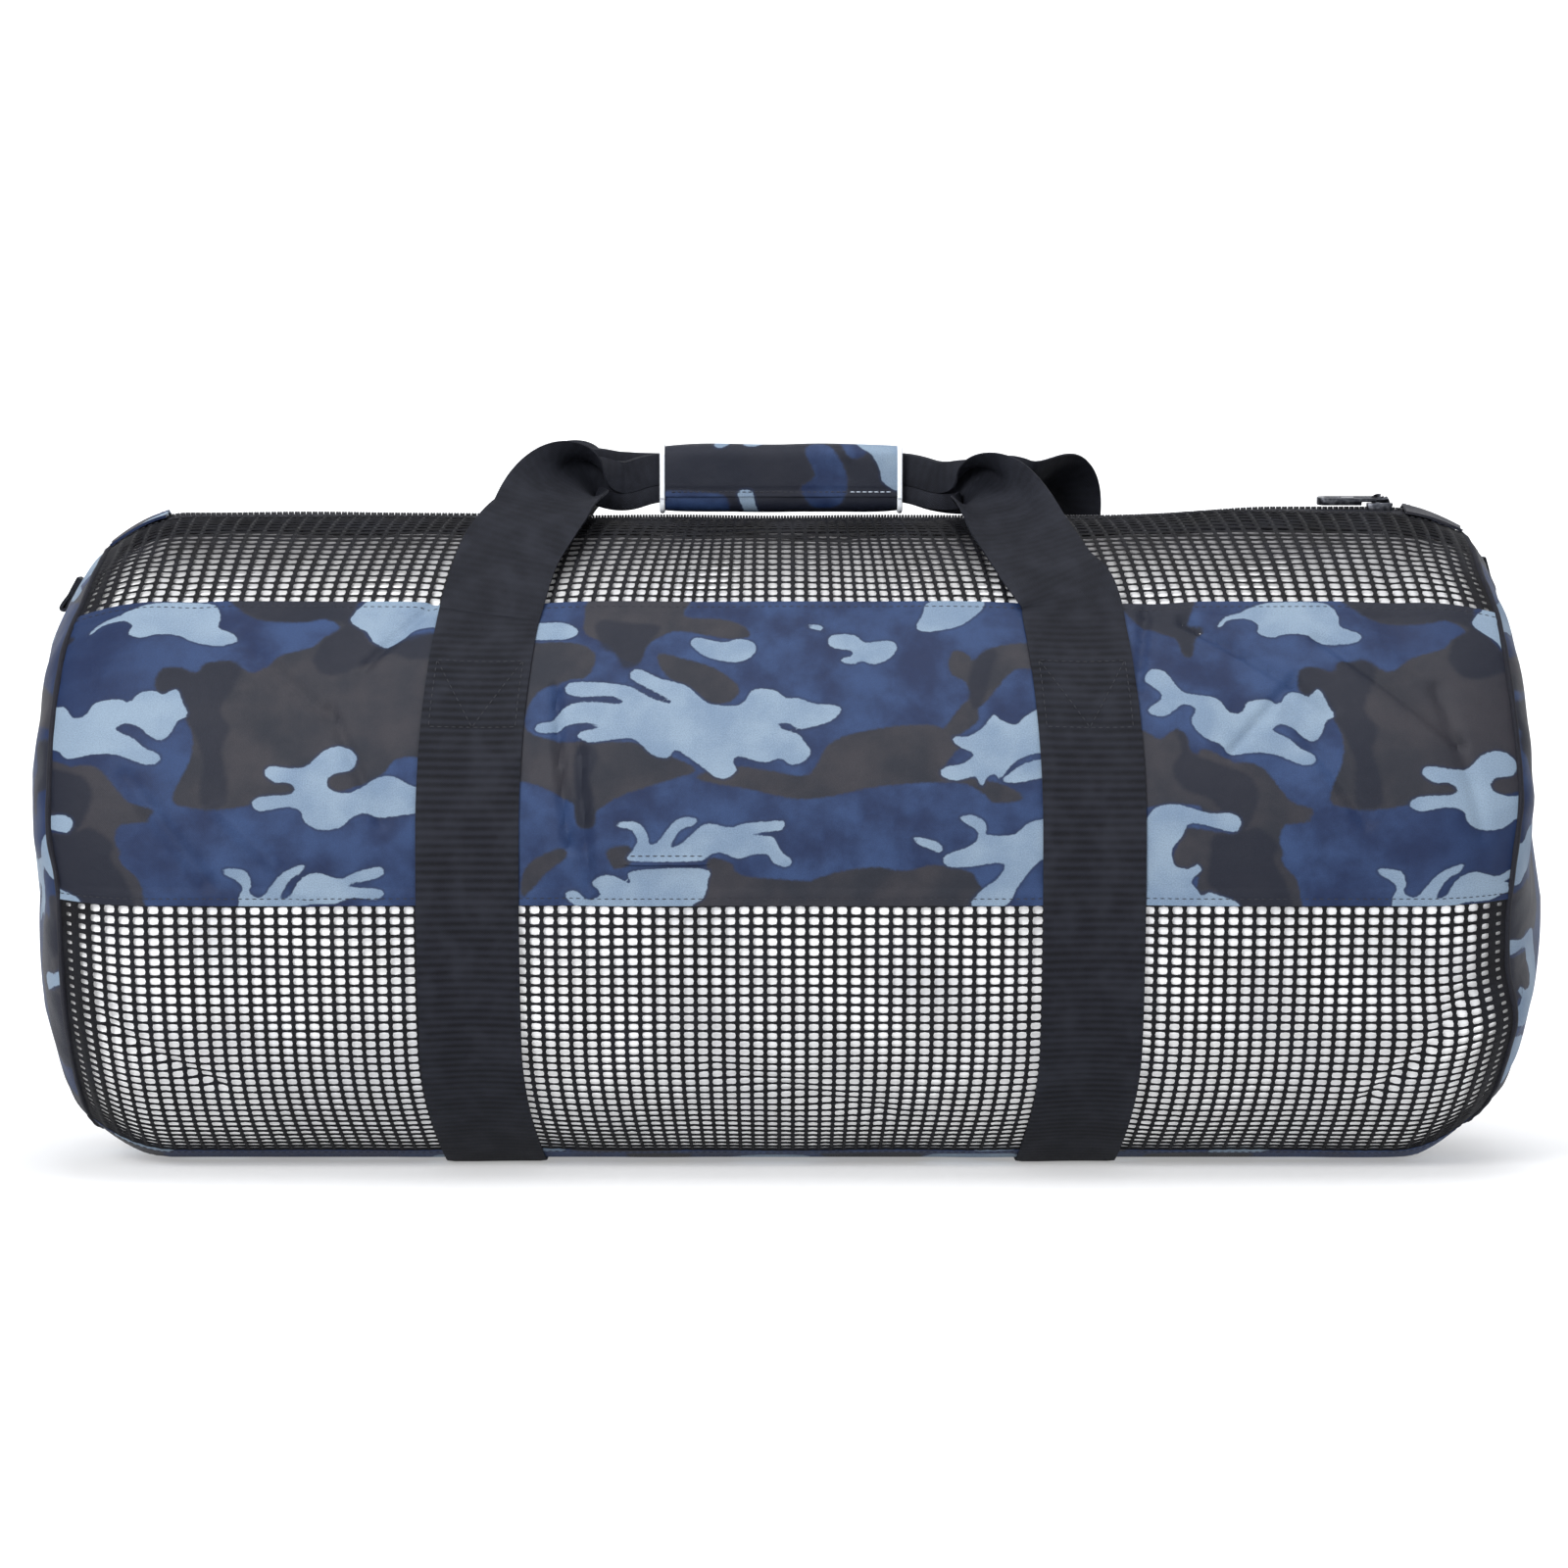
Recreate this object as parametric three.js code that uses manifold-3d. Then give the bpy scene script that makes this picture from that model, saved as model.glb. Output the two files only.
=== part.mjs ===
import * as THREE from 'three';
import Module from 'manifold-3d';
import { mergeVertices } from 'three/addons/utils/BufferGeometryUtils.js';

const wasm = await Module();
wasm.setup();

// A barrel duffel bag lying on its bottom. Sizes are millimetres and angles degrees.
// +X runs along the bag, -Y is its front and +Z is up. Angles round the barrel start at
// the middle of the front, with 90 at the top, 180 at the back and 270 at the bottom.

// Barrel
const bodyRadius = 165; // outer face of the cloth
const barrelHalf = 350; // middle of the bag to each end seam
const shoulderLength = 42; // stretch over which the barrel draws in to the seam
const shoulderDrop = 17; // how far it draws in there
const endBulge = 33; // how far an end panel domes past its seam
const endFullness = 0.65; // power of the dome's profile, where 1 is a parabola
const flatDepth = 6.1; // how much of the round is pressed flat where the bag rests

// Walls and clearances
const clothWall = 1.3;
const tapeWall = 0.8;
const linerWall = 1;
const strapWall = 1.8;
const gap = 0.3; // between neighbouring pieces
const linerClear = 0.8; // between the outer panels and the liner

// Where the front panels begin and end; the back mirrors them
const hemAngle = 84.5; // upper mesh stops beside the zip
const tapeReach = 72; // zip tape reaches this far down under the mesh
const bandTop = 48;
const bandBottom = -8;
const groundEdge = -68; // lower mesh meets the bottom panel
const slotHalf = 20; // half of the opening along the top of the liner
const slotPast = 2; // how far that opening runs past each end of the zip

// Net
const strand = 6; // solid web between two gaps of the net
const middleBays = 3; // gaps along the net between the two straps
const endBays = 2; // gaps between a strap and the end seam
const upperRows = 2; // gaps round the net above the band
const lowerRows = 3; // gaps round the net below the band

// Straps, handles and grip
const strapWidth = 50;
const strapPlace = 152; // middle of the bag to the middle of each strap
const webbingShift = -2.5; // straps and grip sit this far off the middle of the bag
const strapEnd = 45; // angle at which a strap leaves the body and becomes a handle
const foldSlack = 0.6; // extra thickness of a handle that is folded in two
const gripLength = 118;
const gripLift = 18.5; // middle of the grip above the crown of the barrel
const gripWall = 4.5;
const gripFlap = 1.2; // thickness of the overlapping flap
const gripRounding = 6.3; // radius of the wrap's long edges
const flapShow = 7; // strip below the flap's edge
const gripBindingWidth = 3;
const gripBindingProud = 0.6;

// End seams, tabs and zip
const pipingWidth = 5;
const pipingOutside = 3.5; // how far the piping stands out from the seam's radius
const pipingSides = 32;
const tabHalf = 12.5; // half of a pull tab's width
const tabWall = 1.8;
const tabLoop = 3.4; // extra thickness where the tab folds back
const tabReach = 0.2; // length of a pull tab as a share of the seam's radius
const zipInset = 14; // end seam to the end of the zip
const teethHalf = 3.6;
const teethRise = 1.2; // teeth above the cloth
const endTabCover = 17; // length of the zip under each zip end tab
const endTabHalf = 19; // half of its width round the barrel
const sliderInset = 34; // end of the zip to the middle of the slider
const sliderLength = 13;
const sliderWall = 1.4;
const sliderSkirt = 2.6; // how far the slider's sides reach down beside the teeth
const bridgeHalf = 5.5;
const bridgeHeight = 4.6;
const bridgeBand = 1.4; // thickness of the bridge's bow
const bridgeChamfer = 0.7; // at its inner corners
const bridgeWidth = 3;
const pinRadius = 0.9;
const pinHeight = 2; // pin's middle above the slider's plate
const pullLength = 29;
const pullWidth = 8.8;
const pullWall = 1.8;
const forkClear = 0.4; // between the bridge and each arm of the pull
const forkReach = 9.6; // length of the slot from the pin

// Facets: the largest step of each grid, and the shares at which it has its rows
const facetAngle = 9; // round the panels, nets and straps
const linerFacet = 16; // round the liner
const endFacet = 12; // round the end panels
const dentStep = 10; // along the barrel where the deepest dent is looked for
const zipTabStep = 8; // along a zip end tab
const handleStep = 0.5; // along a handle, in rows of its arms' tables
const shoulderColumn = 0.7; // share of the shoulder from its seam where the panels bend
const linerTube = [0.2, 0.4, 0.6, 0.8]; // shares of barrelHalf
const linerDome = [1.04, 1.25, 1.55, 2]; // stations of the outline
const domeRings = [0, 0.12, 0.3, 0.62, 1]; // shares of the way from a seam to the middle
const tabRows = [0, 0.3, 0.6, 0.85, 1]; // shares of a pull tab's length
const roundSegments = 6; // along the pull's round end and each rounded corner
const pinSides = 10;

// What follows from the sizes above
const groundHeight = strapWall + gap; // underside of the cloth where straps carry the bag
const axisHeight = groundHeight + bodyRadius - flatDepth;
const seamRadius = bodyRadius - shoulderDrop;
const seamAngle = THREE.MathUtils.radToDeg(gap / bodyRadius);
const flatAngle = THREE.MathUtils.radToDeg(Math.asin((axisHeight - groundHeight) / bodyRadius));
const panelHalf = barrelHalf - pipingWidth / 2 - gap;
const zipHalf = barrelHalf - zipInset;
const sliderPlace = zipHalf - sliderInset;
const foldWall = 2 * strapWall + foldSlack;
const foldHalf = strapWidth / 4;
const gripHeight = axisHeight + bodyRadius + gripLift;
const gripMouth = gripLength / 2 + gap + gripBindingWidth;

// Dents and folds, each along a line on the barrel's skin. Columns: along, from and to as
// shares of barrelHalf; around, from and to in degrees; reach and depth, shares of bodyRadius.
const dents = [
  { along: [-0.434, -0.434], around: [-60, 60], reach: 0.17, depth: 0.016 },
  { along: [0.434, 0.434], around: [-60, 60], reach: 0.17, depth: 0.016 },
  { along: [-0.434, -0.434], around: [120, 240], reach: 0.17, depth: 0.016 },
  { along: [0.434, 0.434], around: [120, 240], reach: 0.17, depth: 0.016 },
  { along: [-0.3, 0.4], around: [90, 90], reach: 0.3, depth: 0.02 },
  { along: [0.72, 0.9], around: [86, 94], reach: 0.24, depth: -0.018 },
  { along: [-0.84, -0.7], around: [44, 20], reach: 0.07, depth: 0.012 },
  { along: [-0.36, -0.3], around: [14, -6], reach: 0.06, depth: 0.012 },
  { along: [0.55, 0.7], around: [46, 18], reach: 0.08, depth: 0.012 },
  { along: [0.86, 0.94], around: [44, 14], reach: 0.08, depth: 0.014 },
  { along: [-0.72, -0.86], around: [160, 186], reach: 0.08, depth: 0.012 },
  { along: [0.64, 0.78], around: [136, 166], reach: 0.08, depth: 0.012 },
];

// The four arms of the handles, from a strap's end to the grip's mouth. Columns: inward, back
// and rise, shares of the way in X, Y and Z; turn, from lying across to standing on edge;
// swing, how far the outer edge leans to the middle; fold, 0 flat to 1 folded in two.
const frontLeftArm = [
  { inward: 0, back: 0, rise: 0, turn: 0, swing: 0, fold: 0 },
  { inward: 0.04, back: 0.066, rise: 0.176, turn: 0, swing: 0, fold: 0 },
  { inward: 0.12, back: 0.22, rise: 0.47, turn: 2, swing: 0, fold: 0 },
  { inward: 0.29, back: 0.42, rise: 0.77, turn: 4, swing: 6, fold: 0 },
  { inward: 0.43, back: 0.7, rise: 0.93, turn: 33, swing: 28, fold: 0.3 },
  { inward: 0.565, back: 0.905, rise: 1, turn: 70, swing: 14, fold: 0.75 },
  { inward: 0.78, back: 0.965, rise: 0.94, turn: 88, swing: 0, fold: 1 },
  { inward: 1, back: 1, rise: 1, turn: 90, swing: 0, fold: 1 },
];
const frontRightArm = [
  { inward: 0, back: 0, rise: 0, turn: 0, swing: 0, fold: 0 },
  { inward: 0.01, back: 0.048, rise: 0.13, turn: 0, swing: 0, fold: 0 },
  { inward: 0.15, back: 0.17, rise: 0.35, turn: 3, swing: 6, fold: 0 },
  { inward: 0.315, back: 0.4, rise: 0.61, turn: 12, swing: 20, fold: 0.1 },
  { inward: 0.457, back: 0.66, rise: 0.845, turn: 35, swing: 38, fold: 0.35 },
  { inward: 0.587, back: 0.907, rise: 0.96, turn: 75, swing: 15, fold: 0.8 },
  { inward: 0.78, back: 0.965, rise: 0.94, turn: 90, swing: 0, fold: 1 },
  { inward: 1, back: 1, rise: 1, turn: 90, swing: 0, fold: 1 },
];
const backLeftArm = [
  { inward: 0, back: 0, rise: 0, turn: 0, swing: 0, fold: 0 },
  { inward: 0.02, back: 0.05, rise: 0.18, turn: 0, swing: 0, fold: 0 },
  { inward: 0.1, back: 0.2, rise: 0.52, turn: 4, swing: 0, fold: 0 },
  { inward: 0.27, back: 0.42, rise: 0.78, turn: 6, swing: 8, fold: 0 },
  { inward: 0.435, back: 0.68, rise: 0.93, turn: 35, swing: 24, fold: 0.3 },
  { inward: 0.55, back: 0.88, rise: 1.05, turn: 72, swing: 10, fold: 0.7 },
  { inward: 0.8, back: 0.965, rise: 1.01, turn: 88, swing: 0, fold: 1 },
  { inward: 1, back: 1, rise: 1, turn: 90, swing: 0, fold: 1 },
];
const backRightArm = [
  { inward: 0, back: 0, rise: 0, turn: 0, swing: 0, fold: 0 },
  { inward: -0.01, back: 0.01, rise: 0.25, turn: 0, swing: 14, fold: 0 },
  { inward: -0.03, back: 0.17, rise: 0.6, turn: 4, swing: 46, fold: 0 },
  { inward: 0.06, back: 0.43, rise: 0.96, turn: 38, swing: 42, fold: 0 },
  { inward: 0.33, back: 0.68, rise: 0.84, turn: 28, swing: 30, fold: 0.3 },
  { inward: 0.55, back: 0.87, rise: 0.91, turn: 66, swing: 12, fold: 0.75 },
  { inward: 0.78, back: 0.965, rise: 0.93, turn: 90, swing: 0, fold: 1 },
  { inward: 1, back: 1, rise: 1, turn: 90, swing: 0, fold: 1 },
];

const cosine = (degrees) => Math.cos(THREE.MathUtils.degToRad(degrees));
const sine = (degrees) => Math.sin(THREE.MathUtils.degToRad(degrees));

// Evenly spaced stations from one value to another, no further apart than largest.
function steps(from, to, largest) {
  const count = Math.max(1, Math.ceil(Math.abs(to - from) / largest - 1e-6));
  return Array.from({ length: count + 1 }, (_, index) => from + ((to - from) * index) / count);
}

// Sorted stations with near repeats left out.
function stations(...lists) {
  const sorted = lists.flat().sort((a, b) => a - b);
  return sorted.filter((value, index) => index === 0 || value - sorted[index - 1] > 1e-6);
}

// How far the skin is pressed in at a place on the barrel.
function dentDepth(along, around) {
  const turned = THREE.MathUtils.euclideanModulo(around + 90, 360) - 90;
  const arc = THREE.MathUtils.degToRad(bodyRadius);
  const place = new THREE.Vector2(along, turned * arc);
  const ends = new THREE.Line3();
  const nearest = new THREE.Vector3();
  return dents.reduce((depth, dent) => {
    ends.start.set(dent.along[0] * barrelHalf, dent.around[0] * arc, 0);
    ends.end.set(dent.along[1] * barrelHalf, dent.around[1] * arc, 0);
    ends.closestPointToPoint(new THREE.Vector3(place.x, place.y, 0), true, nearest);
    const away = Math.hypot(nearest.x - place.x, nearest.y - place.y) / (dent.reach * bodyRadius);
    return depth + dent.depth * bodyRadius * Math.exp(-away * away);
  }, 0);
}

// The barrel's outline on one side of its axis. From -1 to 1 the station runs from end seam
// to end seam, and from 1 to 2 in from the seam to the middle of the end panel.
function outline(station) {
  const far = Math.abs(station);
  const side = Math.sign(station);
  if (far <= 1) {
    const along = far * barrelHalf;
    const drawn = Math.max(0, (along - barrelHalf + shoulderLength) / shoulderLength);
    return new THREE.Vector2(side * along, bodyRadius - shoulderDrop * drawn * drawn);
  }
  const share = 2 - far;
  const bulge = endBulge * Math.max(0, 1 - share * share) ** endFullness;
  return new THREE.Vector2(side * (barrelHalf + bulge), share * seamRadius);
}

// A point on the bag's skin, moved out by offset along the outline's normal.
function skinPoint(station, around, offset, dented = true) {
  const nudge = 1e-4;
  const here = outline(station);
  const before = outline(Math.max(-2, station - nudge));
  const after = outline(Math.min(2, station + nudge));
  const run = after.sub(before).normalize();
  const pressed = dented && Math.abs(station) <= 1 ? dentDepth(here.x, around) : 0;
  const radius = here.y + run.x * offset - pressed;
  const height = axisHeight + radius * sine(around);
  return new THREE.Vector3(
    here.x - run.y * offset,
    -radius * cosine(around),
    Math.max(height, groundHeight - offset),
  );
}

// Triangles that share their corners, so that the surface is closed.
class Facets {
  constructor() {
    this.positions = [];
    this.corners = new Map();
    this.indices = [];
  }

  corner(point) {
    const key = point.toArray().map((value) => Math.round(value * 1e4)).join();
    if (!this.corners.has(key)) {
      this.corners.set(key, this.positions.length / 3);
      this.positions.push(point.x, point.y, point.z);
    }
    return this.corners.get(key);
  }

  triangle(a, b, c) {
    if (a !== b && b !== c && c !== a) this.indices.push(a, b, c);
  }

  quad(a, b, c, d) {
    const [first, second, third, fourth] = [a, b, c, d].map((point) => this.corner(point));
    this.triangle(first, second, third);
    this.triangle(first, third, fourth);
  }

  geometry() {
    const geometry = new THREE.BufferGeometry();
    geometry.setAttribute('position', new THREE.Float32BufferAttribute(this.positions, 3));
    if (this.volume() < 0) this.indices.reverse();
    geometry.setIndex(this.indices);
    geometry.computeVertexNormals();
    return geometry;
  }

  volume() {
    const at = (index) => new THREE.Vector3().fromArray(this.positions, index * 3);
    let total = 0;
    for (let index = 0; index < this.indices.length; index += 3) {
      const [a, b, c] = this.indices.slice(index, index + 3).map(at);
      total += a.dot(b.cross(c)) / 6;
    }
    return total;
  }
}

// A closed wall over a grid. pointAt gives the outer face for side 1 and the inner for side 0,
// and cells for which isOpen is true are left out, with walls round them.
function wallGeometry(columns, rows, pointAt, isOpen = () => false, allRound = false) {
  const facets = new Facets();
  const last = rows.length - 1;
  const solid = (column, row) => {
    const inside = allRound ? (row + last) % last : row;
    if (column < 0 || column >= columns.length - 1) return false;
    if (inside < 0 || inside >= last) return false;
    const middle = [columns[column] + columns[column + 1], rows[inside] + rows[inside + 1]];
    return !isOpen(middle[0] / 2, middle[1] / 2);
  };
  const at = (column, row, side) => pointAt(columns[column], rows[row], side);
  for (let c = 0; c < columns.length - 1; c += 1) {
    for (let r = 0; r < last; r += 1) {
      if (!solid(c, r)) continue;
      facets.quad(at(c, r, 1), at(c + 1, r, 1), at(c + 1, r + 1, 1), at(c, r + 1, 1));
      facets.quad(at(c, r, 0), at(c, r + 1, 0), at(c + 1, r + 1, 0), at(c + 1, r, 0));
      const rims = [
        { open: !solid(c, r - 1), from: [c, r], to: [c + 1, r] },
        { open: !solid(c + 1, r), from: [c + 1, r], to: [c + 1, r + 1] },
        { open: !solid(c, r + 1), from: [c + 1, r + 1], to: [c, r + 1] },
        { open: !solid(c - 1, r), from: [c, r + 1], to: [c, r] },
      ];
      rims.filter((rim) => rim.open).forEach(({ from, to }) => {
        facets.quad(at(...from, 0), at(...to, 0), at(...to, 1), at(...from, 1));
      });
    }
  }
  return facets.geometry();
}

// A wall on the barrel's skin between two offsets.
function skinGeometry(columns, rows, outer, inner, isOpen, allRound) {
  const pointAt = (along, around, side) =>
    skinPoint(along / barrelHalf, around, side ? outer : inner);
  return wallGeometry(columns, rows, pointAt, isOpen, allRound);
}

// Gaps of the net between two ends, with a strand at each end and between the gaps.
function netGaps(from, to, count, web) {
  const size = (to - from - web * (count + 1)) / count;
  return Array.from({ length: count }, (_, index) => {
    const start = from + web + index * (size + web);
    return [start, start + size];
  });
}

// Gaps along the whole net: one lies under each strap, whose edges are the strands' edges.
const strapEdges = (side) =>
  [-1, 1].map((edge) => side * strapPlace + webbingShift + (edge * strapWidth) / 2);
const alongGaps = [
  ...netGaps(-panelHalf, strapEdges(-1)[0], endBays, strand),
  strapEdges(-1),
  ...netGaps(strapEdges(-1)[1], strapEdges(1)[0], middleBays, strand),
  strapEdges(1),
  ...netGaps(strapEdges(1)[1], panelHalf, endBays, strand),
];
const shoulderStart = barrelHalf - shoulderLength * shoulderColumn;
const panelColumns = stations(
  [-panelHalf, -shoulderStart, shoulderStart, panelHalf],
  alongGaps.flat(),
);
const strandAngle = THREE.MathUtils.radToDeg(strand / bodyRadius);
const facetSag = bodyRadius * (1 - cosine(facetAngle / 2)); // of a flat facet below the round
const upperGaps = netGaps(bandTop + seamAngle, hemAngle, upperRows, strandAngle);
const lowerGaps = netGaps(groundEdge, bandBottom - seamAngle, lowerRows, strandAngle);
const gapRows = (gaps) => gaps.flatMap(([from, to]) => steps(from, to, facetAngle));
const netRows = {
  upper: stations([bandTop + seamAngle, hemAngle], gapRows(upperGaps)),
  lower: stations([groundEdge, bandBottom - seamAngle], gapRows(lowerGaps)),
};
const bandRows = stations(steps(bandBottom, strapEnd, facetAngle), [strapEnd, bandTop]);
const groundRows = stations(
  [groundEdge - seamAngle, -180 - groundEdge + seamAngle],
  steps(-flatAngle, flatAngle - 180, facetAngle),
);
const mirrored = (rows) => rows.map((angle) => 180 - angle).reverse();

function netOpen(gaps) {
  const within = (value, list) => list.some(([from, to]) => value > from && value < to);
  return (along, around) => within(along, alongGaps) && within(around, gaps);
}

const mirrorGaps = (gaps) => gaps.map(([from, to]) => [180 - to, 180 - from]);

// A strap round the barrel from the front, under the bottom, to the back.
function strapGeometry(side) {
  const back = mirrored([...netRows.lower, ...bandRows]).map((angle) => angle - 360);
  const rows = stations(netRows.lower, bandRows, groundRows, back);
  const ends = rows.filter((angle) => angle <= strapEnd + 1e-6 && angle >= -180 - strapEnd - 1e-6);
  return skinGeometry(strapEdges(side), ends, gap + strapWall, gap);
}

// One arm of a handle as stations from the strap's end to the grip's mouth.
function armStations(table, side, face) {
  const angle = strapEnd + 2 * seamAngle;
  const [near, far] = strapEdges(side).map((along) =>
    skinPoint(along / barrelHalf, face > 0 ? angle : 180 - angle, gap + strapWall / 2),
  );
  const start = near.add(far).divideScalar(2);
  const mouth = new THREE.Vector3(
    webbingShift + side * gripMouth,
    (-face * (foldWall + gap)) / 2,
    gripHeight,
  );
  return table.map((row) => {
    const centre = new THREE.Vector3(
      THREE.MathUtils.lerp(start.x, mouth.x, row.inward),
      THREE.MathUtils.lerp(start.y, mouth.y, row.back),
      THREE.MathUtils.lerp(start.z, mouth.z, row.rise),
    );
    const across = new THREE.Vector3(
      side * cosine(row.turn) * cosine(row.swing),
      face * sine(row.swing),
      sine(row.turn) * cosine(row.swing),
    );
    return { centre, across, fold: row.fold };
  });
}

// A handle: a ribbon of webbing along both arms, folded in two where it passes the grip.
function handleGeometry(leftTable, rightTable, face) {
  const path = [
    ...armStations(leftTable, -1, face),
    ...armStations(rightTable, 1, face).reverse(),
  ];
  const centres = new THREE.CatmullRomCurve3(path.map((row) => row.centre), false, 'centripetal');
  const edges = new THREE.CatmullRomCurve3(path.map((row) => row.across));
  const spans = path.length - 1;
  const gripSpan = leftTable.length - 1;
  const stationAt = (share) => {
    const index = Math.min(spans - 1, Math.floor(share));
    const local = share - index;
    const fold = THREE.MathUtils.lerp(path[index].fold, path[index + 1].fold, local);
    const across = edges.getPoint(share / spans).normalize();
    const inGrip = index === gripSpan;
    const run = inGrip ? new THREE.Vector3(1, 0, 0) : centres.getTangent(share / spans);
    const straight = path[index].centre.clone().lerp(path[index + 1].centre, local);
    return {
      centre: inGrip ? straight : centres.getPoint(share / spans),
      across,
      out: new THREE.Vector3().crossVectors(run, across).normalize(),
      half: THREE.MathUtils.lerp(strapWidth / 2, foldHalf, fold),
      wall: THREE.MathUtils.lerp(strapWall, foldWall, fold),
    };
  };
  const pointAt = (share, edge, side) => {
    const { centre, across, out, half, wall } = stationAt(share);
    const moved = centre.clone().addScaledVector(across, edge * half);
    return moved.addScaledVector(out, (side - 0.5) * wall);
  };
  return wallGeometry(steps(0, spans, handleStep), [-1, 1], pointAt);
}

// Turns a shape drawn in Y and Z and extruded by length so that it runs along X from start.
function alongX(shape, start, length) {
  const settings = { depth: length, bevelEnabled: false, curveSegments: roundSegments };
  const geometry = new THREE.ExtrudeGeometry(shape, settings);
  const basis = new THREE.Matrix4().makeBasis(
    new THREE.Vector3(0, 1, 0),
    new THREE.Vector3(0, 0, 1),
    new THREE.Vector3(1, 0, 0),
  );
  return geometry.applyMatrix4(basis.setPosition(start, 0, 0));
}

// A rounded rectangle about a middle height, with a step in its front for a flap.
function roundedOutline(target, halfDepth, halfHeight, radius, middle, flap = 0) {
  const top = middle + halfHeight;
  const bottom = middle - halfHeight;
  const front = -halfDepth - flap;
  const edge = bottom + flapShow;
  target.moveTo(-halfDepth, edge);
  target.lineTo(front, edge);
  target.lineTo(front, top - radius);
  target.quadraticCurveTo(front, top, -halfDepth + radius, top);
  target.lineTo(halfDepth - radius, top);
  target.quadraticCurveTo(halfDepth, top, halfDepth, top - radius);
  target.lineTo(halfDepth, bottom + radius);
  target.quadraticCurveTo(halfDepth, bottom, halfDepth - radius, bottom);
  target.lineTo(-halfDepth + radius, bottom);
  target.quadraticCurveTo(-halfDepth, bottom, -halfDepth, bottom + radius);
  return target;
}

// The padded wrap round both handles, and the bindings of its ends.
function gripShape(proud, flap) {
  const insideDepth = foldWall + gap / 2 + gap;
  const insideHeight = foldHalf + gap;
  const wall = gripWall + proud;
  const outer = new THREE.Shape();
  const rounding = Math.min(gripRounding, flapShow - gap);
  roundedOutline(outer, insideDepth + wall, insideHeight + wall, rounding, gripHeight, flap);
  const inner = new THREE.Path();
  inner.moveTo(-insideDepth, gripHeight - insideHeight);
  inner.lineTo(insideDepth, gripHeight - insideHeight);
  inner.lineTo(insideDepth, gripHeight + insideHeight);
  inner.lineTo(-insideDepth, gripHeight + insideHeight);
  inner.closePath();
  outer.holes.push(inner);
  return outer;
}

// The pale liner: a smooth shell inside the deepest dent, with a slot along its top.
const deepestDent = Math.max(
  ...steps(-barrelHalf, barrelHalf, dentStep).flatMap((along) =>
    steps(-90, 270, dentStep / 2).map((around) => dentDepth(along, around)),
  ),
);
const linerOuter = -clothWall - linerClear - deepestDent;
const slotShare = (zipHalf + slotPast) / barrelHalf;
function linerGeometry() {
  const half = [...linerTube, slotShare, 1, ...linerDome];
  const columns = stations(half.map((station) => -station), [0], half);
  const rows = stations(
    steps(-90, -flatAngle, linerFacet),
    steps(-flatAngle, 90 - slotHalf, linerFacet),
    steps(90 - slotHalf, 90 + slotHalf, linerFacet),
    steps(90 + slotHalf, 180 + flatAngle, linerFacet),
    steps(180 + flatAngle, 270, linerFacet),
  );
  const pointAt = (station, around, face) =>
    skinPoint(station, around, face ? linerOuter : linerOuter - linerWall, false);
  const inSlot = (station, around) =>
    Math.abs(station) < slotShare && Math.abs(around - 90) < slotHalf;
  return wallGeometry(columns, rows, pointAt, inSlot, true);
}

// The piping round an end seam, which reaches in to the edge of the liner.
function pipingGeometry(side) {
  const sag = seamRadius * (1 - cosine(180 / pipingSides));
  const [slot, seam] = [slotShare, 1].map((share) => skinPoint(share, 0, linerOuter, false));
  const share = (barrelHalf - pipingWidth / 2 - slot.x) / (seam.x - slot.x);
  const inner = gap + sag - THREE.MathUtils.lerp(slot.y, seam.y, share);
  const outer = seamRadius + pipingOutside;
  const half = pipingWidth / 2;
  const profile = [
    new THREE.Vector2(inner, -half),
    new THREE.Vector2(outer - half / 2, -half),
    new THREE.Vector2(outer, 0),
    new THREE.Vector2(outer - half / 2, half),
    new THREE.Vector2(inner, half),
    new THREE.Vector2(inner, -half),
  ];
  const ring = new THREE.LatheGeometry(profile, pipingSides);
  ring.rotateZ(-Math.PI / 2);
  ring.translate(side * barrelHalf, 0, axisHeight);
  return ring;
}

// The share of the seam's radius at which the dome has bulged out by clear.
const domeShare = (clear) => Math.sqrt(1 - (clear / endBulge) ** (1 / endFullness));

// A domed end panel.
function endGeometry(side) {
  const rim = 2 - domeShare(pipingWidth / 2 + gap + clothWall / 2);
  const middle = 2;
  const rings = domeRings.map((share) => side * (rim + (middle - rim) * share));
  const pointAt = (station, around, face) => skinPoint(station, around, face ? 0 : -clothWall);
  return wallGeometry(rings, steps(-90, 270, endFacet), pointAt, () => false, true);
}

// A loop of webbing sewn in at the top of the seam and lying on the end panel.
function tabGeometry(side) {
  const top = 2 - domeShare(pipingWidth / 2 + 2 * gap);
  const half = THREE.MathUtils.radToDeg(tabHalf / seamRadius);
  const pointAt = (share, around, face) => {
    const loop = tabLoop * Math.sin((share * Math.PI) / 2) ** 4;
    return skinPoint(side * (top + tabReach * share), around, face ? gap + tabWall + loop : gap);
  };
  return wallGeometry(tabRows, [90 - half, 90, 90 + half], pointAt);
}

const zipColumns = stations([-zipHalf, zipHalf], panelColumns.filter((x) => Math.abs(x) < zipHalf));
const teethAngle = THREE.MathUtils.radToDeg(teethHalf / bodyRadius);

const tapeOuter = -clothWall - gap - facetSag;

const tapeRows = [
  tapeReach,
  (tapeReach + hemAngle) / 2,
  hemAngle,
  90 - teethAngle - seamAngle,
];
const tapeGeometry = (rows) => skinGeometry(zipColumns, rows, tapeOuter, tapeOuter - tapeWall);

function teethGeometry() {
  const rows = [90 - teethAngle, 90 + teethAngle];
  return skinGeometry(zipColumns, rows, teethRise, tapeOuter - tapeWall);
}

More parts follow.
